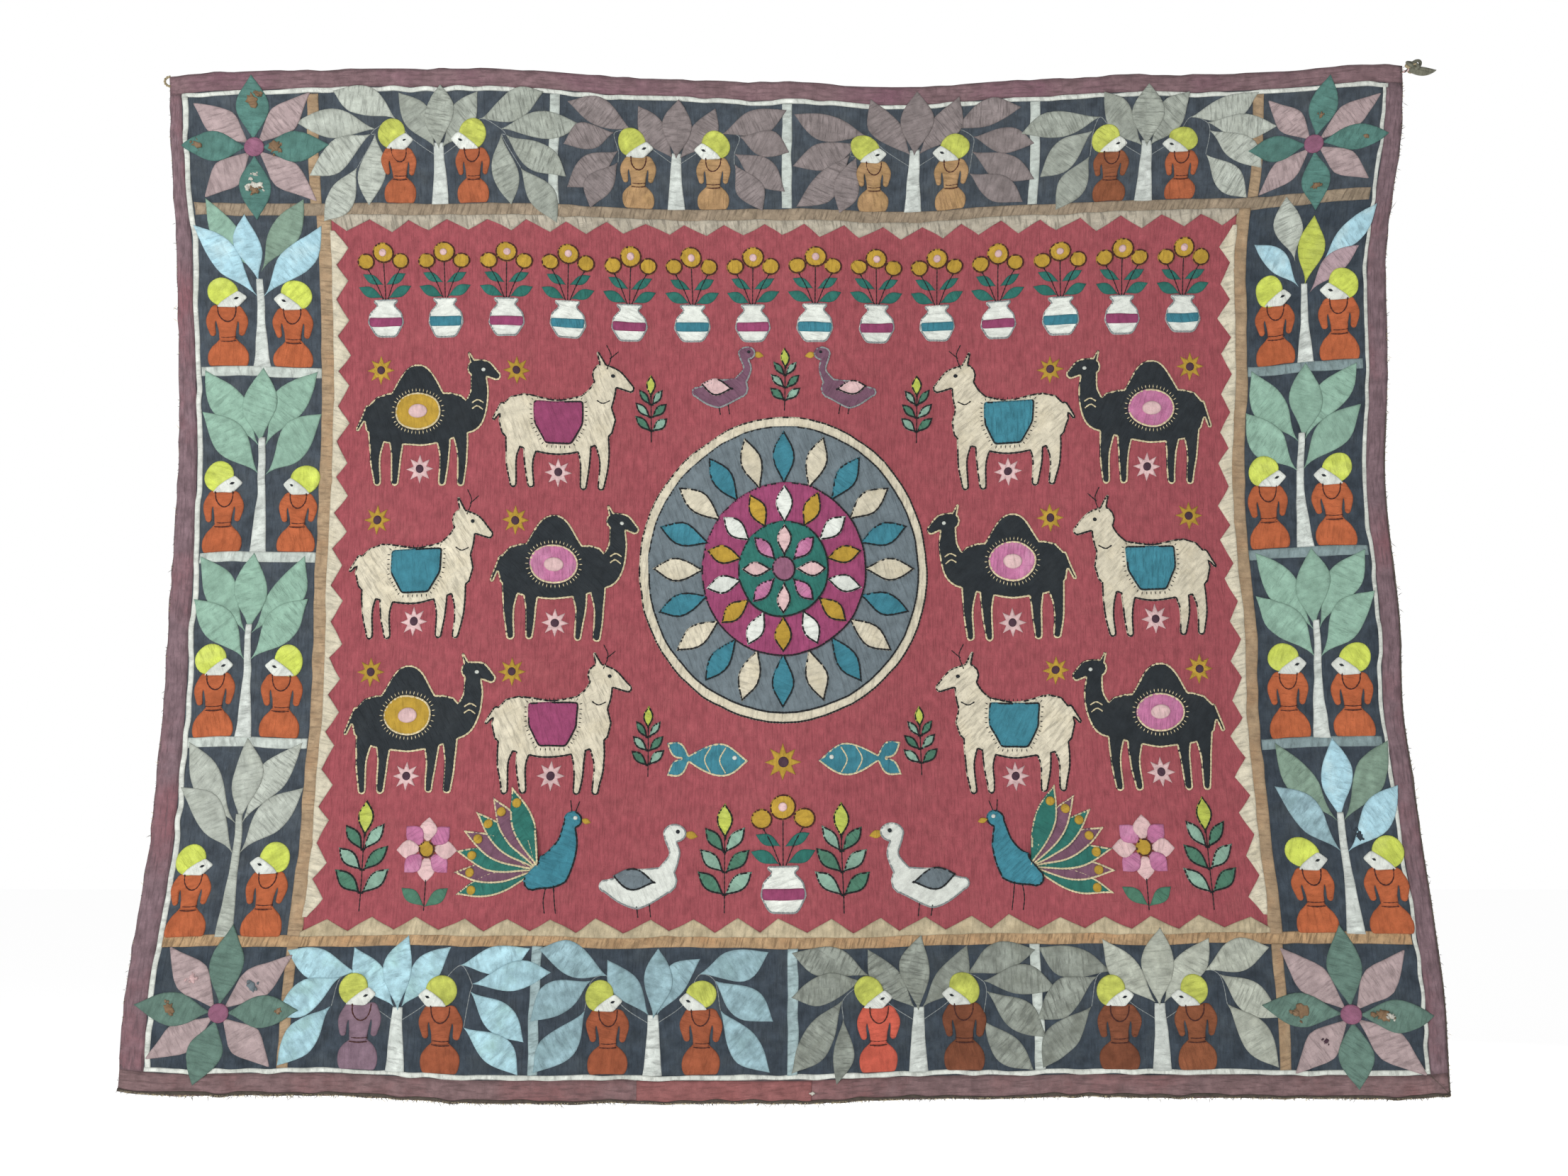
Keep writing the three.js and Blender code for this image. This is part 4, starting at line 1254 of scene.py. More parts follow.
def paired(*rows):
    """Leaves on both hands of a trunk"""
    both = []
    for side, up, tip_side, tip_up, width in rows:
        both += [(-side, up, -tip_side, tip_up, width), (side, up, tip_side, tip_up, width)]
    return both


SIDE_TRUNK = {"foot": 22, "top": 8}
SIDE_CROWNS = {
    "tall": {
        "trunk": 146,
        "leaves": paired((3, 134, 71, 233, 44), (3, 97, 77, 178, 45)) + [(0, 132, 2, 236, 45)],
    },
    "short": {
        "trunk": 114,
        "leaves": paired((3, 124, 62, 222, 42), (3, 90, 82, 187, 45)) + [(0, 108, -14, 202, 40)],
    },
    "mixed": {
        "trunk": 103,
        "leaves": [(-12, 132, -33, 220, 37), (20, 124, 88, 200, 32), (-8, 98, -68, 160, 29),
                   (7, 90, 71, 147, 30), (0, 98, 7, 190, 36)],
    },
}
CROWN_HEIGHT = 236
TIP_SPACE = 2
ROW_TRUNK = {"foot": 24, "top": 13, "height": 78}
ROW_CROWNS = {
    "top": [(0, 70, 3, 153, 41), (5, 72, 54, 143, 37)],
    "bottom": [(0, 74, 6, 166, 40), (5, 78, 64, 152, 37)],
}
STEM_START = [(3, 60), (40, 86)]
SPRAYS = {
    "three": [(58, 120, 146, 149, 40), (77, 114, 152, 64, 41), (85, 78, 148, 3, 41)],
    "wide": [(62, 117, 166, 98, 40), (71, 99, 140, 36, 40), (74, 63, 116, -9, 38)],
    "four": [(60, 116, 150, 146, 38), (82, 108, 174, 98, 37), (86, 96, 158, 40, 38), (80, 62, 142, 0, 37)],
    "long": [(77, 130, 164, 151, 37), (94, 108, 192, 122, 36), (92, 99, 160, 39, 38), (85, 57, 154, 0, 38)],
    "fan": [(60, 103, 148, 136, 38), (84, 100, 152, 78, 38), (78, 76, 146, 23, 38), (78, 61, 116, -3, 36)],
    "low": [(63, 105, 162, 130, 38), (75, 96, 163, 60, 38), (87, 78, 159, 3, 38), (78, 76, 101, -4, 36)],
    "drop": [(50, 113, 144, 136, 38), (78, 99, 161, 84, 37), (78, 78, 161, 34, 38), (75, 48, 148, 4, 36)],
    "curl": [(62, 118, 159, 148, 38), (70, 112, 160, 94, 38), (96, 90, 160, 2, 39), (96, 66, 104, -12, 27)],
    "five": [(58, 108, 142, 146, 39), (86, 95, 190, 106, 38), (92, 88, 173, 36, 39),
             (86, 88, 98, -3, 37), (112, 45, 158, -24, 37)],
}

# Trees of the two rows: how far right of its panel's middle each stands, size of trunk and crown, slot of the
# leaves, cloths of the left spray, the crown and the right spray, sprays on either hand, and the figures'
# distances from the trunk and robes
ROW_TREES = {
    "top": [
        (-2, 1.0, "leaf_grey", ("pale_grey", "grey_dim", "grey_dim"), ("five", "five"),
         (56, 46), ("orange_old", "orange_old")),
        (8, 0.96, "leaf_mauve", ("mauve_grey",) * 3, ("fan", "fan"), (51, 50), ("peach", "peach")),
        (5, 1.1, "leaf_mauve", ("mauve_grey",) * 3, ("low", "drop"), (55, 51), ("peach", "peach")),
        (7, 1.06, "leaf_grey", ("grey_dim", "grey_dim", "pale_grey"), ("wide", "four"),
         (46, 48), ("rust_dim", "orange_old")),
    ],
    "bottom": [
        (-20, 1.0, "leaf_blue", ("sky_stained",) * 3, ("three", "long"), (47, 56), ("plum", "rust")),
        (-14, 0.92, "leaf_blue", ("sky_dim",) * 3, ("three", "three"), (56, 60), ("rust", "rust")),
        (4, 1.0, "leaf_grey", ("olive_grey",) * 3, ("curl", "four"), (51, 57), ("coral", "brown_red")),
        (1, 1.05, "leaf_grey", ("olive_grey", "olive_pale", "olive_pale"), ("three", "three"),
         (51, 44), ("brown_red", "rust_dim")),
    ],
}

# Trees of the two sides: shift from the panel's middle, slot, crown, share of the leaves' full width, the
# figures' distances from the trunk, and cloths of the upper pair, the lower pair and the centre leaf
SIDE_TREES = {
    "left": [
        (1, "leaf_blue", "short", 0.88, (43, 40), ["sage", "sage_old", "sky", "sky", "sky"]),
        (0, "leaf_sage", "tall", 1.0, (48, 50), ["sage"] * 5),
        (-6, "leaf_sage", "tall", 1.0, (41, 45), ["sage"] * 5),
        (-2, "leaf_grey", "tall", 0.86, (50, 45), ["pale_grey"] * 5),
    ],
    "right": [
        (1, "leaf_blue", "mixed", 1.0, (40, 45), ["pale_grey", "sky", "sky", "dusk_pink", "lime"]),
        (-2, "leaf_sage", "tall", 1.0, (45, 41), ["sage"] * 5),
        (3, "leaf_sage", "tall", 1.0, (40, 42), ["sage"] * 5),
        (12, "leaf_sage", "tall", 0.88, (45, 44), ["sage_old", "sage_old", "sky_dim", "sky", "sky"]),
    ],
}

# Dark spots on a side tree's leaves: place beside and above its foot, radius and cloth
LEAF_SPOTS = {"tree_right_4": [(20, 118, 6, "navy_deep")]}

# How far leaves are bent and lopsided at most, as shares of their length and width
LEAF_BEND = 0.07
LEAF_LOPSIDED = 0.16

# How slim the side trees' leaves are at their stalks, the width of the row trees' stems, and the width of a
# trunk at half its height as a share of that at its top
SIDE_SLIM = 2.0
STEM_WIDTH = 1.2
TRUNK_WAIST = 1.3


def tree_leaf(target, foot, hand, row, cloth, size=1.0, share=1.0, slim=1.4):
    side, up, tip_side, tip_up, width = row
    bend = hand * rng.uniform(-LEAF_BEND, LEAF_BEND)
    ends = on_cloth([(side, up), (tip_side, tip_up)], foot, hand, size)
    lopsided = rng.uniform(-LEAF_LOPSIDED, LEAF_LOPSIDED)
    sew(target, leaf(*ends, width * size * share, bend, lopsided=lopsided, slim=slim), cloth)


def trunk(target, foot, sizes, height, size=1.0, cloth="trunk"):
    wide, top = sizes["foot"] / 2, sizes["top"] / 2
    right = [(wide, -1), (top * TRUNK_WAIST, height / 2), (top, height)]
    left = [(-side, up) for side, up in reversed(right)]
    sew(target, on_cloth(right + left, foot, 1, size), cloth, math.pi / 2)


def side_tree(name, slot, foot, crown, cloths, size, share):
    target = piece(f"{name}_leaves", slot, name)
    for row, cloth in zip(crown["leaves"], cloths):
        tree_leaf(target, foot, 1, row, cloth, size, share, SIDE_SLIM)
    bark = "pale_grey" if cloths[-1] == "pale_grey" else "trunk"
    trunk(target, foot, SIDE_TRUNK, crown["trunk"], size, bark)
    for side, up, radius, cloth in LEAF_SPOTS.get(name, []):
        wear(target, on_cloth([(side, up)], foot)[0], radius, cloth)


def row_tree(name, slot, foot, cloths, crown, sprays, size):
    target = piece(f"{name}_leaves", slot, name)
    centre, pair = crown
    for hand, spray, cloth in zip((-1, 1), sprays, cloths[::2]):
        stem = STEM_START + [row[:2] for row in SPRAYS[spray]]
        thread(target, on_cloth(smooth_path(stem), foot, hand), "thread_grey", STEM_WIDTH)
        for row in SPRAYS[spray]:
            tree_leaf(target, foot, hand, row, cloth)
    trunk(target, foot, ROW_TRUNK, ROW_TRUNK["height"] * size)
    for hand in (-1, 1):
        tree_leaf(target, foot, hand, pair, cloths[1], size)
    tree_leaf(target, foot, 1, centre, cloths[1], size)


# Small turbaned figures, one on each side of every trunk

# How large each border's figures and their heads are, how far right their heads lean, and their cloths
FIGURES = {
    "top": {"size": 0.88, "head": 1.1, "lean": -5, "turban": "turban_old", "skirt": "round"},
    "bottom": {"size": 1.02, "head": 0.94, "lean": -5, "turban": "turban_old", "skirt": "round"},
    "left": {"size": 0.98, "head": 1.0, "lean": 0, "turban": "turban", "skirt": "domed"},
    "right": {"size": 1.0, "head": 1.0, "lean": 0, "turban": "turban", "skirt": "domed"},
}

# Unevenness of a figure's size and lean, and its parts as places beside and above its foot
SIZE_UNEVEN = (0.97, 1.03)
LEAN_UNEVEN = (-2, 2)
NECK = 78
ARM = ([(13, 71), (20.5, 60), (18.5, 43)], [17, 12, 8])
TORSO = [(-10, 33), (10, 33), (11, 46), (14, 60), (17, 78), (-17, 78), (-14, 60), (-11, 46)]
NECKLACE = [(-11, 78), (-10, 68), (-5, 60.5), (1, 58), (7, 60.5), (11, 68), (12, 78)]
TURBAN = {"middle": (-6, 97), "across": 20.5, "up": 18.5}
FACE = [(-14, 77), (12, 76), (25, 90), (14, 99), (3, 92), (-8, 84)]
EYE = [(8, 87), (14.5, 89.5)]
EYE_WIDTH = 3.2
BELTS = [[(-11, up + 1), (0, up), (11, up + 1)] for up in (32, 37)]
NECKLACE_WIDTH = 1.7
BELT_WIDTH = 1.4

# Half widths of a figure's lower part at heights above its foot
SKIRTS = {
    "round": [(0, 20.5), (6, 23.5), (14, 24.5), (22, 23), (29, 18), (34, 12), (37, 9)],
    "domed": [(0, 24.5), (8, 26.5), (17, 25.5), (26, 20.5), (32, 14), (37, 10)],
}


def figure(target, foot, hand, style, robe):
    """A standing figure that looks towards the trunk"""
    size = style["size"] * rng.uniform(*SIZE_UNEVEN)
    lean = hand * style["lean"] + rng.uniform(*LEAN_UNEVEN)

    def put(shape):
        return on_cloth(shape, foot, hand, size)

    def put_head(shape):
        return put((np.asarray(shape, float) - (0, NECK)) * style["head"] + (lean, NECK))

    sew(target, put(symmetric(SKIRTS[style["skirt"]])), robe)
    arm = limb(*ARM)
    torso = outline_of(np.array(TORSO, float), arm, arm * np.array([-1, 1]))
    sew(target, put(softened(torso, 1)), robe, math.pi / 2)
    wound = oval(TURBAN["middle"], TURBAN["across"], TURBAN["up"], rng.uniform(0, math.pi))
    sew(target, put_head(wound), style["turban"], uneven=1.4)
    sew(target, put_head(softened(FACE, 1)), "white")
    lay(target, put_head(leaf(*EYE, EYE_WIDTH, 0, 0.5, 6)), "black", uneven=0.0)
    thread(target, put(smooth_path(NECKLACE)), "thread_dark", NECKLACE_WIDTH)
    for belt in BELTS:
        thread(target, put(smooth_path(belt)), "thread_dark", BELT_WIDTH)


def make_figures(name, foot, border, distances, robes):
    target = piece(f"figures_{name}", "leaf_grey")
    for hand, away, robe in zip((1, -1), distances, robes):
        figure(target, (foot[0] - hand * away, foot[1]), hand, FIGURES[border], robe)


def make_rows():
    floors = {"top": high["tape"], "bottom": low["panel"]}
    for border, trees in ROW_TREES.items():
        ends = [-out["field"], *BARS[border], out["field"]]
        for i, (shift, size, slot, cloths, sprays, distances, robes) in enumerate(trees):
            foot = ((ends[i] + ends[i + 1]) / 2 + shift, floors[border])
            row_tree(f"tree_{border}_{i + 1}", slot, foot, cloths, ROW_CROWNS[border], sprays, size)
            make_figures(f"{border}_{i + 1}", foot, border, distances, robes)


def make_sides():
    for border, trees in SIDE_TREES.items():
        across = FLOWER_ACROSS if border == "right" else -FLOWER_ACROSS
        floor = [at - BAR_WIDTH / 2 for at in BARS[border]] + [low["field"]]
        for i, (shift, slot, crown, share, distances, cloths) in enumerate(trees):
            foot = (across + shift, floor[i])
            size = (floor[i] - floor[i - 1] - TIP_SPACE) / CROWN_HEIGHT if crown == "tall" else 1.0
            side_tree(f"tree_{border}_{i + 1}", slot, foot, SIDE_CROWNS[crown], cloths, size, share)
            make_figures(f"{border}_{i + 1}", foot, border, distances, ["orange", "orange"])


# The field's generic design

def star(middle, points, far, near):
    """A star with its points and the notches between them at two distances from its middle"""
    turns = [i * math.pi / points for i in range(2 * points)]
    return np.array([round_about(middle, turn, near if i % 2 else far) for i, turn in enumerate(turns)])


def mirrored(*shapes):
    return [shape * np.array([hand, 1]) for hand in (1, -1) for shape in shapes]


def petals(middle, count, start, end, width):
    shapes = []
    for i in range(count):
        turn = i * 2 * math.pi / count
        ends = [round_about(middle, turn, far) for far in (start, end)]
        shapes.append(leaf(*ends, width, steps=8))
    return shapes


def each(cloths, edging, shapes):
    """One part for each shape, with the cloths taken in turn"""
    return [(cloths[i % len(cloths)], edging, [shape]) for i, shape in enumerate(shapes)]


def eye(cloth, middle, across, up):
    return (cloth, None, [oval(middle, across, up, sides=10)])


BLANKET = softened([(-34, 113), (34, 115), (33, 84), (18, 58), (-18, 58), (-33, 84)], 2)
POT = symmetric([(0, 13), (4, 17), (18, 25), (32, 22), (42, 12), (46, 17), (50, 17)])
TAIL_TURNS = np.radians([196, 182, 168, 154, 140, 126, 112])

# A motif's parts are sewn on in order: a cloth, a couched outline and shapes that run together, in distances
# forward of its middle and up from its foot. Its lines are couched on last
MOTIFS = {
    "deer": {
        "slot": "edging_cream",
        "parts": [
            ("cream", "thread_black", [
                limb([(-46, 86), (0, 80), (44, 90)], [72, 72, 68]),
                limb([(42, 96), (58, 122), (66, 146)], [56, 40, 28]),
                limb([(60, 150), (78, 146), (98, 134)], [30, 25, 12]),
                limb([(62, 158), (54, 178)], [11, 4]),
                limb([(32, 70), (36, 36), (34, 5)], [26, 15, 10]),
                limb([(56, 76), (62, 38), (58, 5)], [26, 15, 10]),
                limb([(-56, 78), (-64, 40), (-60, 5)], [32, 17, 10]),
                limb([(-34, 70), (-40, 36), (-36, 5)], [26, 15, 10]),
                limb([(-76, 104), (-88, 88)], [9, 5]),
            ]),
            ("purple", "thread_black", [BLANKET]),
            eye("black", (74, 149), 2.8, 2.4),
        ],
        "fringed": "purple",
        "lines": [
            ("thread_black", [(66, 158), (72, 176), (66, 190)]),
            ("thread_black", [(70, 172), (82, 182)]),
            ("thread_black", [(52, 116), (60, 112), (70, 116)]),
        ],
    },
    "camel": {
        "slot": "border_navy",
        "parts": [
            ("black", "thread_cream", [
                limb([(-46, 90), (0, 88), (42, 92)], [66, 72, 62]),
                limb([(-28, 112), (-4, 146), (20, 112)], [34, 30, 34]),
                limb([(42, 92), (68, 90), (82, 118), (82, 148)], [50, 40, 28, 22]),
                limb([(78, 154), (92, 153), (106, 144)], [24, 22, 13]),
                limb([(74, 162), (69, 174)], [8, 4]),
                limb([(30, 76), (33, 40), (31, 5)], [26, 15, 11]),
                limb([(54, 80), (58, 40), (56, 5)], [26, 15, 11]),
                limb([(-34, 78), (-33, 40), (-34, 5)], [26, 15, 11]),
                limb([(-58, 82), (-62, 40), (-59, 5)], [30, 16, 11]),
                limb([(-74, 104), (-86, 76)], [8, 6]),
            ]),
            ("mustard", "thread_cream", [oval((-4, 98), 32, 25)]),
            ("rose", None, [oval((-4, 98), 13, 9)]),
            eye("white", (88, 152), 2.8, 2.4),
        ],
        "fringed": "mustard",
        "lines": [
            ("thread_cream", [(72, 108), (80, 112), (88, 108)]),
            ("thread_cream", [(72, 100), (79, 104), (87, 99)]),
        ],
    },
    "duck": {
        "slot": "piping_white",
        "parts": [
            ("mustard", None, [leaf((44, 86), (62, 82), 9)]),
            ("white", "thread_grey", [
                limb([(-40, 30), (-10, 26), (24, 34)], [14, 44, 30]),
                limb([(22, 36), (36, 62), (30, 82)], [22, 13, 12]),
                oval((36, 86), 13, 10),
            ]),
            ("slate", "thread_black", [leaf((16, 32), (-32, 40), 24)]),
            eye("black", (39, 88), 2.4, 2.2),
        ],
        "lines": [("thread_black", [(-6, 8), (-4, -4)]), ("thread_black", [(8, 10), (10, -4)])],
    },
    "peacock": {
        "slot": "petal_teal",
        "parts": [
            *each(["teal_green", "violet"], "thread_cream", [
                leaf((0, 44), (95 * math.cos(turn), 44 + 95 * math.sin(turn)), 24)
                for turn in TAIL_TURNS
            ]),
            *each(["mustard"], None, [
                oval((76 * math.cos(turn), 44 + 76 * math.sin(turn)), 5, 5, sides=12)
                for turn in TAIL_TURNS
            ]),
            ("teal_blue", "thread_black", [
                limb([(-6, 34), (14, 46), (28, 70), (30, 92)], [20, 40, 26, 14]),
                oval((34, 98), 10, 9),
            ]),
            ("mustard", None, [leaf((42, 98), (54, 95), 6)]),
            eye("white", (36, 100), 2.4, 2.2),
        ],
        "lines": [
            ("thread_black", [(8, 28), (6, 14), (8, 0)]),
            ("thread_black", [(16, 30), (18, 14), (20, 0)]),
            ("thread_black", [(32, 106), (30, 118)]),
            ("thread_black", [(36, 106), (40, 117)]),
        ],
    },
    "fish": {
        "slot": "bar_blue",
        "parts": [
            ("teal_blue", "thread_cream", [
                leaf((-44, 30), (46, 30), 42, widest=0.6),
                leaf((-30, 30), (-64, 50), 20),
                leaf((-30, 30), (-64, 10), 20),
            ]),
            eye("white", (28, 34), 3, 3),
        ],
        "lines": [
            ("thread_cream", [(16, 14), (8, 30), (16, 46)]),
            ("thread_cream", [(-4, 14), (-12, 30), (-4, 46)]),
        ],
    },
    "pot": {
        "slot": "bar_white",
        "parts": [
            *each(["teal_green"], None, mirrored(leaf((4, 52), (36, 66), 14), leaf((2, 70), (30, 84), 12))),
            *each(["mustard"], "thread_dark", [
                oval((0, 112), 15, 14), oval((24, 100), 12, 11), oval((-24, 100), 12, 11),
            ]),
            ("white", "thread_grey", [POT]),
            ("purple", None, [softened([(-22, 14), (22, 14), (23, 26), (-23, 26)], 1)]),
            ("rose", None, [oval((0, 112), 5, 5, sides=12)]),
        ],
        "lines": [
            ("thread_black", [(0, 50), (0, 98)]),
            ("thread_black", [(3, 50), (12, 72), (22, 90)]),
            ("thread_black", [(-3, 50), (-12, 72), (-22, 90)]),
        ],
    },
    "plant": {
        "slot": "leaf_sage",
        "parts": [
            *each(["sage", "green"], "thread_black", mirrored(
                leaf((0, 18), (30, 44), 17), leaf((0, 42), (28, 68), 16), leaf((0, 64), (22, 92), 14))),
            ("lime", "thread_black", [leaf((0, 78), (0, 118), 18)]),
        ],
        "lines": [("thread_black", [(0, 0), (0, 84)])],
    },
    "blossom": {
        "slot": "leaf_grey",
        "parts": [
            *each(["green"], None, mirrored(leaf((0, 4), (26, 24), 14))),
            *each(["rose", "pink_print"], None, petals((0, 64), 8, 5, 34, 20)),
            ("mustard", "thread_dark", [oval((0, 64), 9, 9)]),
        ],
        "lines": [("thread_black", [(0, 0), (0, 32)])],
    },
    "star": {
        "slot": "leaf_mauve",
        "parts": [
            ("mustard", None, [star((0, 0), 8, 17, 8.5)]),
            ("maroon", None, [oval((0, 0), 5, 5, sides=14)]),
        ],
        "lines": [],
    },
}

# Rings of the medallion from the outside in: a disc's radius and cloth, and the count, start, end, width and
# two cloths of the petals on it
MEDALLION_AT = (0, 648)
MEDALLION = [
    (196, "cream", 0, 0, 0, 0, ()),
    (184, "slate", 20, 106, 178, 30, ("teal_blue", "cream")),
    (112, "purple", 14, 58, 108, 24, ("white", "mustard")),
    (62, "teal_green", 8, 16, 58, 20, ("rose", "pink_print")),
    (16, "magenta", 0, 0, 0, 0, ()),
]

# Places of the motifs' feet down the cloth, and across it on either side of the middle
POT_ROW = {"down": 352, "count": 14, "spacing": 84}
ANIMAL_ROWS = [548, 742, 936]
ANIMAL_COLUMNS = [308, 498]
FOOT_ROW = 1082
FOOT_SIZE = 1.18

# Stars behind and below an animal: distances from its foot, and their size
STAR_BEHIND = (56, 152)
STAR_BELOW = 22
STAR_SIZE = 1.1

# Motifs on the middle line: kind, foot and size
MIDDLE = [("plant", 444, 0.72), ("star", 892, 1.4), ("pot", FOOT_ROW, FOOT_SIZE)]

# Motifs on both sides of it: kind, place across, foot, size and cloths in place of the motif's own
PAIRS = [
    ("duck", 84, 444, 0.9, {"white": "violet", "slate": "rose"}),
    ("fish", 92, 920, 1.0, {}),
    ("plant", 182, 484, 0.75, {}),
    ("plant", 182, 912, 0.75, {}),
    ("plant", 76, FOOT_ROW, FOOT_SIZE, {}),
    ("duck", 184, FOOT_ROW, FOOT_SIZE, {}),
    ("peacock", 316, FOOT_ROW, FOOT_SIZE, {}),
    ("blossom", 464, FOOT_ROW, FOOT_SIZE, {}),
    ("plant", 548, FOOT_ROW, FOOT_SIZE, {}),
]

# Width of a motif's couched lines
LINE_WIDTH = 1.7


def motif(kind, foot, hand=1, size=1.0, swap=None):
    """Sews a motif on as a piece of its own, with other cloths where swap names them"""
    design = MOTIFS[kind]
    number = 1 + sum(name.startswith(f"field_{kind}_") for name in pieces)
    target = piece(f"field_{kind}_{number}", design["slot"])
    for cloth, edging, shapes in design["parts"]:
        shape = outline_of(*shapes) if len(shapes) > 1 else shapes[0]
        ring = sew(target, on_cloth(shape, foot, hand, size), (swap or {}).get(cloth, cloth), None, edging)
        if cloth == design.get("fringed"):
            fringe(target, ring, edging)
    for cloth, points in design["lines"]:
        thread(target, on_cloth(smooth_path(points), foot, hand, size), cloth, LINE_WIDTH)


def make_medallion():
    target = piece("field_medallion", "petal_teal")
    for radius, cloth, count, start, end, width, cloths in MEDALLION:
        sew(target, oval(MEDALLION_AT, radius, radius, sides=64), cloth, 0.0, "thread_black")
        shapes = petals(MEDALLION_AT, count, start, end, width)
        for petal_cloth, edging, (shape,) in each(cloths, "thread_black", shapes):
            sew(target, shape, petal_cloth, None, edging)


def make_animals():
    for row, down in enumerate(ANIMAL_ROWS):
        for column, across in enumerate(ANIMAL_COLUMNS):
            kind = "camel" if (row + column) % 2 else "deer"
            for hand in (1, -1):
                foot = (-hand * across, down)
                swap = {"purple": "teal_blue", "mustard": "pink_print"} if row == 1 or hand < 0 else {}
                motif(kind, foot, hand, 1.0, swap)
                behind = (foot[0] - hand * STAR_BEHIND[0], down - STAR_BEHIND[1])
                motif("star", behind, size=STAR_SIZE)
                motif("star", (foot[0], down - STAR_BELOW), size=STAR_SIZE, swap={"mustard": "rose"})


def make_field():
    make_medallion()
    for i in range(POT_ROW["count"]):
        across = (i - (POT_ROW["count"] - 1) / 2) * POT_ROW["spacing"]
        motif("pot", (across, POT_ROW["down"]), swap={"purple": "teal_blue"} if i % 2 else {})
    make_animals()
    for kind, down, size in MIDDLE:
        motif(kind, (0, down), size=size)
    for hand in (1, -1):
        for kind, across, down, size, swap in PAIRS:
            motif(kind, (-hand * across, down), hand, size, swap)


# Hem, frayed edges and the mitre at the lower right corner, with painted shadow along the right and lower
# edges

HEM_LINE = 4
HEM_UNEVEN = 2.2
MITRE_WIDTH = 1.0

# Where a redder piece of cloth is let into the lower binding, and the pale knot at its end
RED_STRETCH = (-185, 35)
HEM_KNOT_RADIUS = 3
HEM_KNOT_DOWN = 16

# Painted shadow down the right edge: a dark line, where it starts and its width
SHADOW_LINE_START = 470
SHADOW_LINE_WIDTH = 2.0

# Loose fibres: how many on each edge, how far in they start, how long and leaning they are, the share of dark
# ones, and the widths of dark and pale ones. The dark ones, crowded on the lower and right edges, are both
# fraying and painted shadow
FRAY = {"bottom": 3600, "right": 900, "left": 300}
FRAY_INSET = 1.5
FRAY_SHORTEST = 1.0
FRAY_LENGTH = 1.4
FRAY_LONGEST = 9
FRAY_LEAN = 0.6
DARK_FRAY_AND_SHADOW_SHARE = 0.6
FRAY_WIDTHS = (0.7, 0.6)


def frayed_edge(border, count):
    """Loose fibres along one edge, most of them short"""
    along = rng.uniform(0, 1, count)
    far = np.minimum(FRAY_SHORTEST + rng.exponential(FRAY_LENGTH, count), FRAY_LONGEST)
    lean = rng.normal(0, FRAY_LEAN, count) * far
    if border == "bottom":
        starts = np.column_stack([(along - 0.5) * WIDTH, np.full(count, HEIGHT - FRAY_INSET)])
        return starts, starts + np.column_stack([lean, far])
    way = 1 if border == "right" else -1
    starts = np.column_stack([np.full(count, way * (HALF - FRAY_INSET)), along * HEIGHT])
    return starts, starts + np.column_stack([way * far, lean])


def make_edges():
    hem = piece("hem_line", "binding_mauve")
    start, end = RED_STRETCH
    lay(hem, box(start, low["piping"] + 1, end, HEIGHT - 1), "binding_red", math.pi / 2, STRIP_UNEVEN)
    knot = blot((end, low["piping"] + HEM_KNOT_DOWN), HEM_KNOT_RADIUS)
    lay(hem, knot, "worn_white", uneven=BIT_UNEVEN, step=SPOT_STEP)
    lay(hem, box(-HALF, HEIGHT - HEM_LINE, HALF, HEIGHT), "dark_cloth_and_shadow", 0.0, HEM_UNEVEN, STRIP_STEP)
    thread(hem, [(HALF - 2, HEIGHT - 2), (out["piping"], low["piping"])], "dark_cloth_and_shadow", MITRE_WIDTH)
    # Painted shadow: a dark line down the right edge
    thread(hem, [(HALF - 1, SHADOW_LINE_START), (HALF - 1, HEIGHT)], "dark_cloth_and_shadow", SHADOW_LINE_WIDTH)
    for border, count in FRAY.items():
        target = piece(f"fray_{border}", "binding_mauve")
        starts, ends = frayed_edge(border, count)
        # Dark fibres are fraying and painted shadow at once, thickest along the lower and right edges
        dark = rng.uniform(0, 1, count) < DARK_FRAY_AND_SHADOW_SHARE
        dashes(target, starts[dark], ends[dark], "dark_cloth_and_shadow", FRAY_WIDTHS[0])
        dashes(target, starts[~dark], ends[~dark], "thread_cream", FRAY_WIDTHS[1])


# Cord loop at the top left corner and knotted tie at the top right one

LOOP_REACH = 7.5
LOOP_HALF_HEIGHT = 6.5
LOOP_MIDDLE = 6
LOOP_SUNK = 1
LOOP_POINTS = 41
STRAND_RADIUS = 1.0
STRAND_OFFSET = 0.8
STRAND_PITCH = 7.0
STRAND_STEP = 1.5
STRAND_SIDES = 8
TIE_STEM = [(-4, -9), (6, -9), (15, 1)]
STEM_POINTS = 16
KNOT_AT = (15, 0, 1)
KNOT_SIZE = (10, 3.4, 6.6)
KNOT_CORD = 2.2
KNOT_POINTS = 73
KNOT_BEHIND = (13, 2, -2)
KNOT_BEHIND_SHARE = 0.85
TAIL_UPPER = [(8, -1), (27, 0.5), (44, -6)]
TAIL_LOWER = [(8, -8), (27, -20), (44, -7)]
TAIL_BULGE = 2.6
TAIL_BACK = 0.8
TAIL_FULLNESS = 0.6
TAIL_CREASE = 0.5
TAIL_WAVES = (0.3, 1.4)
TAIL_GRID = (11, 21)


def across_path(path):
    """Directions in the cloth's plane across a path"""
    side = np.cross(np.gradient(path, axis=0), (0, 1, 0))
    return side / np.linalg.norm(side, axis=1)[:, None]


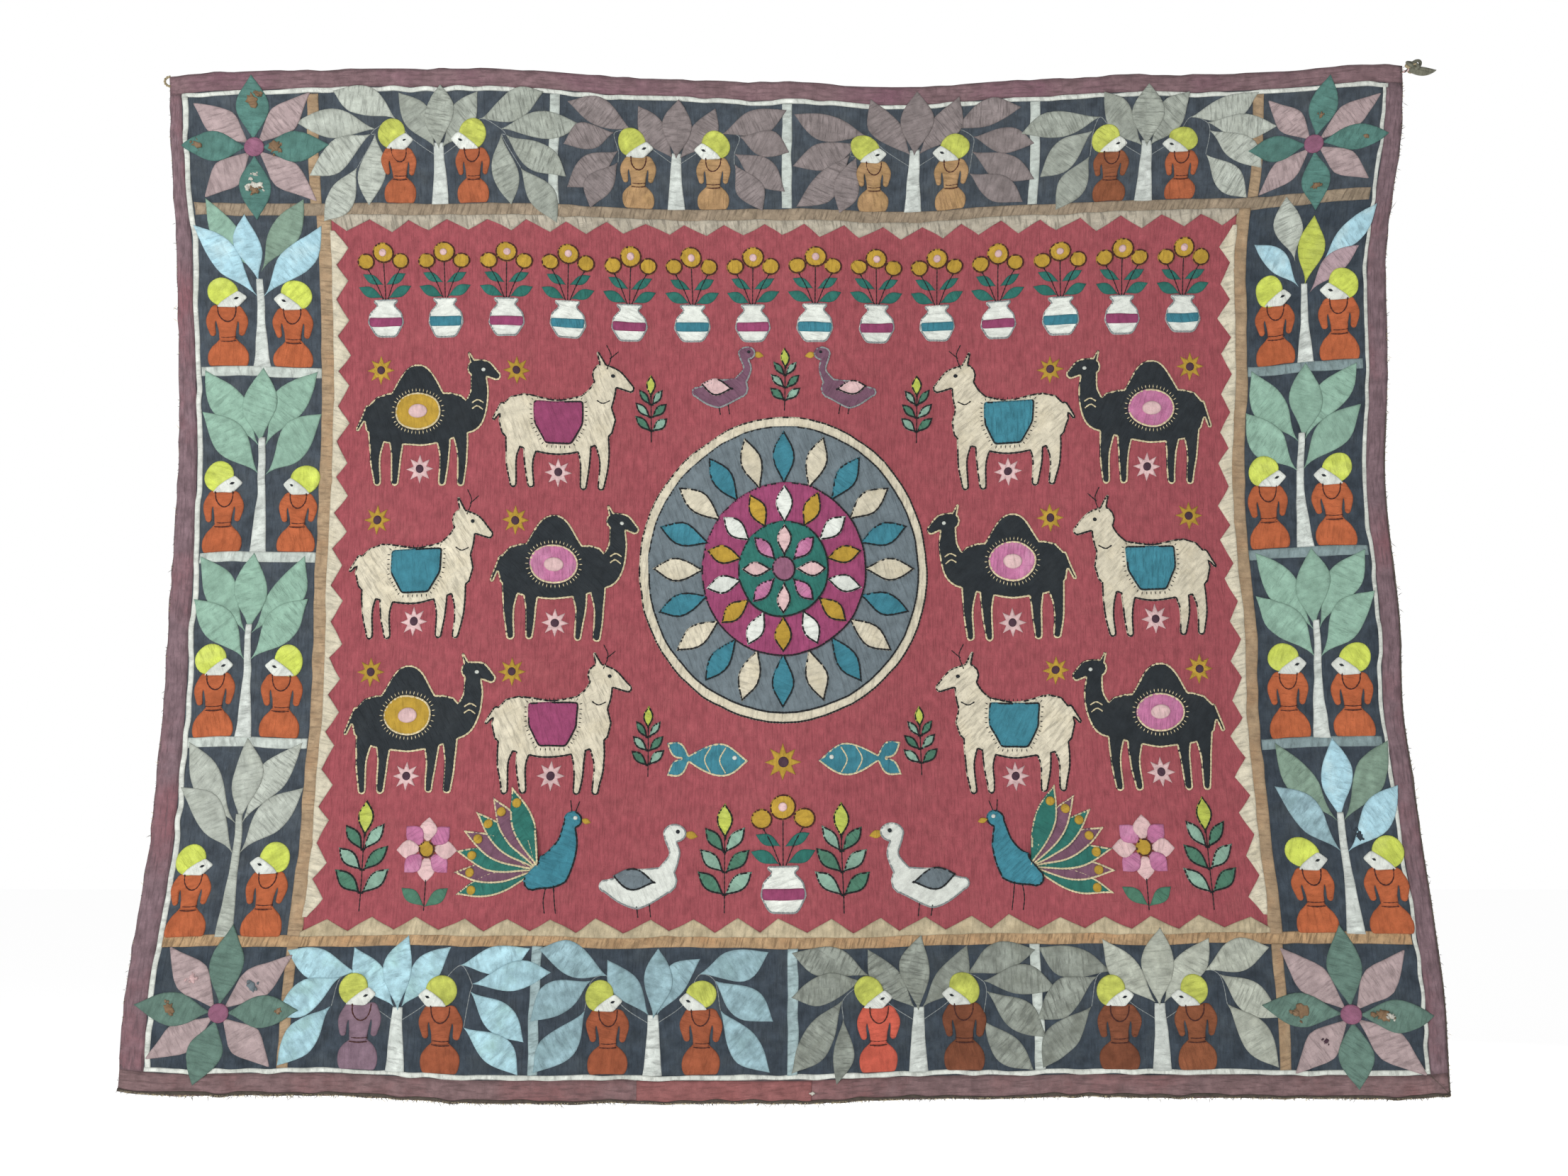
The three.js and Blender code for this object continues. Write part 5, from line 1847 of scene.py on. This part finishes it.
def tube(target, path, radius, cloth):
    """A round strand along a path in millimetres, closed at its ends"""
    ahead = np.gradient(path, axis=0)
    side = across_path(path)
    back = np.cross(side, ahead / np.linalg.norm(ahead, axis=1)[:, None])
    sides = STRAND_SIDES
    turns = np.arange(sides) * 2 * math.pi / sides
    ring = np.cos(turns)[:, None] * side[:, None] + np.sin(turns)[:, None] * back[:, None]
    points = (path[:, None] + radius * ring).reshape(-1, 3)
    here = np.arange(len(points)).reshape(len(path), sides)
    beside = np.roll(here, -1, axis=1)
    a, b, c, d = (part.ravel() for part in (here[:-1], beside[:-1], beside[1:], here[1:]))
    first, last = here[0], here[-1]
    caps = [(first[0], first[k + 1], first[k]) for k in range(1, sides - 1)]
    caps += [(last[0], last[k], last[k + 1]) for k in range(1, sides - 1)]
    faces = np.vstack([np.column_stack([a, b, c]), np.column_stack([a, c, d]), caps])
    reach = np.repeat(np.arange(len(path)) * STRAND_STEP, sides)
    grain = np.column_stack([reach, np.tile(turns, len(path)), np.full(len(points), target.count)])
    target.add(points * MM, faces, cloth, grain, NO_EDGE, rng.uniform(-1, 1))


def twisted(target, path, *cloths):
    """Two strands wound round each other along a path"""
    steps = np.linalg.norm(np.diff(path, axis=0), axis=1)
    turn = np.concatenate([[0], np.cumsum(steps)]) * 2 * math.pi / STRAND_PITCH
    side = across_path(path)
    for start, cloth in zip((0, math.pi), cloths):
        away = np.cos(turn + start)[:, None] * side + np.sin(turn + start)[:, None] * np.array([0, 1, 0])
        tube(target, path + STRAND_OFFSET * away, STRAND_RADIUS, cloth)


def make_loop():
    turn = np.linspace(0, math.pi, LOOP_POINTS)
    down = LOOP_MIDDLE - LOOP_HALF_HEIGHT * np.cos(turn)
    path = hang(np.column_stack([np.full(len(turn), -HALF), down])) / MM
    path[:, 0] -= LOOP_REACH * np.sin(turn) - LOOP_SUNK
    twisted(piece("loop_left_cord", "cord_beige", "loop_left"), path, "cord", "cord")


def bezier(points, count):
    t = np.linspace(0, 1, count)[:, None]
    start, middle, end = np.asarray(points, float)
    return start * (1 - t) ** 2 + middle * 2 * t * (1 - t) + end * t * t


def make_knot(target, corner):
    """Two cords knotted over each other at the end of a twisted stem"""
    stem = bezier(TIE_STEM, STEM_POINTS)
    stem = np.column_stack([stem[:, 0], np.zeros(len(stem)), stem[:, 1]])
    twisted(target, corner + stem, "rose", "dark_cloth_and_shadow")
    t = np.linspace(0, 2 * math.pi, KNOT_POINTS)
    across = np.sin(t) + 2 * np.sin(2 * t)
    up = np.cos(t) - 2 * np.cos(2 * t)
    trefoil = np.column_stack([across, 3 * np.sin(3 * t), up]) / 3
    tube(target, corner + KNOT_AT + trefoil * KNOT_SIZE, KNOT_CORD, "rag")
    tube(target, corner + KNOT_BEHIND + trefoil * KNOT_SIZE * KNOT_BEHIND_SHARE, KNOT_CORD, "cord")


def make_tail(target, corner):
    """The loose end of the tie, a folded strip with fine creases"""
    rows, columns = TAIL_GRID
    share = np.linspace(0, 1, rows)[:, None, None]
    face = bezier(TAIL_UPPER, columns) * (1 - share) + bezier(TAIL_LOWER, columns) * share
    face = face.reshape(-1, 2)
    fold = np.repeat(np.sin(math.pi * np.linspace(0, 1, rows)) ** TAIL_FULLNESS, columns)
    crease = TAIL_CREASE * np.sin(face[:, 1] * TAIL_WAVES[1] + face[:, 0] * TAIL_WAVES[0])
    front = np.column_stack([face[:, 0], -(TAIL_BULGE + crease) * fold, face[:, 1]])
    behind = np.column_stack([face[:, 0], np.full(len(face), TAIL_BACK), face[:, 1]])
    points = (np.vstack([front, behind]) + corner) * MM
    grain = np.column_stack([np.tile(face, (2, 1)), np.zeros(len(points))])
    target.add(points, sheet_faces(rows, columns), "rag", grain, NO_EDGE, 0.0)


def make_tie():
    target = piece("tie_right_knot", "cord_beige", "tie_right")
    corner = hang([(HALF, 0)])[0] / MM
    make_knot(target, corner)
    make_tail(target, corner)


# Camera, light and floor

CAMERA_AT = (0.0, -2.593, -1.004)
CAMERA_TO = (0.0, 0.0, -0.6715)
VIEW_ACROSS = math.radians(42)
FLOOR_Z = -1.62
FLOOR_REACH = 30
FLOOR_GLOW = 0.62
WHITE = (1, 1, 1, 1)
PALE = (0.95, 0.95, 0.95, 1)

# Strength of the white all round: as it lights the cloth, and as the camera sees it
LIGHT_ALL_ROUND = 0.38
LIGHT_AS_SEEN = 1.0

# Lamps: place, size and power
LAMPS = {"key": ((-2.4, -3.2, 0.7), 1.6, 70), "back_fill": ((1.8, 3.2, 0.9), 2.0, 50)}
LAMPS_TO = (0, 0, -0.7)


def aim(thing, place, towards):
    """Stands a camera or lamp at a place and points it towards another"""
    thing.location = place
    thing.rotation_euler = (Vector(towards) - Vector(place)).to_track_quat("-Z", "Y").to_euler()


def make_camera():
    lens = bpy.data.cameras.new("camera")
    lens.sensor_width = 36
    lens.lens = lens.sensor_width / 2 / math.tan(VIEW_ACROSS / 2)
    camera = add_object("camera", lens)
    aim(camera, CAMERA_AT, CAMERA_TO)
    bpy.context.scene.camera = camera


def make_lamps():
    for name, (place, size, power) in LAMPS.items():
        light = bpy.data.lights.new(name, "AREA")
        light.size = size
        light.energy = power
        aim(add_object(name, light), place, LAMPS_TO)


def make_world():
    """White studio light, brighter where the camera sees it than on the cloth"""
    world = bpy.data.worlds.new("studio")
    nodes = Nodes(world)
    shades = []
    for strength in (LIGHT_ALL_ROUND, LIGHT_AS_SEEN):
        sockets = {"Color": WHITE, "Strength": strength}
        shades.append(nodes.add("ShaderNodeBackground", sockets).outputs[0])
    seen = nodes.add("ShaderNodeLightPath").outputs["Is Camera Ray"]
    both = nodes.add("ShaderNodeMixShader", {0: seen, 1: shades[0], 2: shades[1]}).outputs[0]
    nodes.add("ShaderNodeOutputWorld", {"Surface": both})
    bpy.context.scene.world = world


def make_floor():
    mesh = bpy.data.meshes.new("floor")
    corners = [(x * FLOOR_REACH, y * FLOOR_REACH, FLOOR_Z) for x, y in ((-1, -1), (1, -1), (1, 1), (-1, 1))]
    mesh.from_pydata(corners, [], [(0, 1, 2, 3)])
    material = bpy.data.materials.new("floor")
    Nodes(material).surface({
        "Base Color": PALE,
        "Roughness": ROUGHNESS,
        "Emission Color": WHITE,
        "Emission Strength": FLOOR_GLOW,
    })
    mesh.materials.append(material)
    add_object("floor", mesh)


def make_stage():
    bpy.context.scene.view_settings.view_transform = "Standard"
    bpy.context.scene.view_settings.look = "None"
    make_world()
    make_floor()
    make_lamps()


make_camera()
make_stage()
make_ground()
make_strips()
make_sawtooth()
make_bars()
make_rows()
make_sides()
make_flowers()
make_field()
make_edges()
make_loop()
make_tie()

made = {name: gathered.make() for name, gathered in pieces.items()}
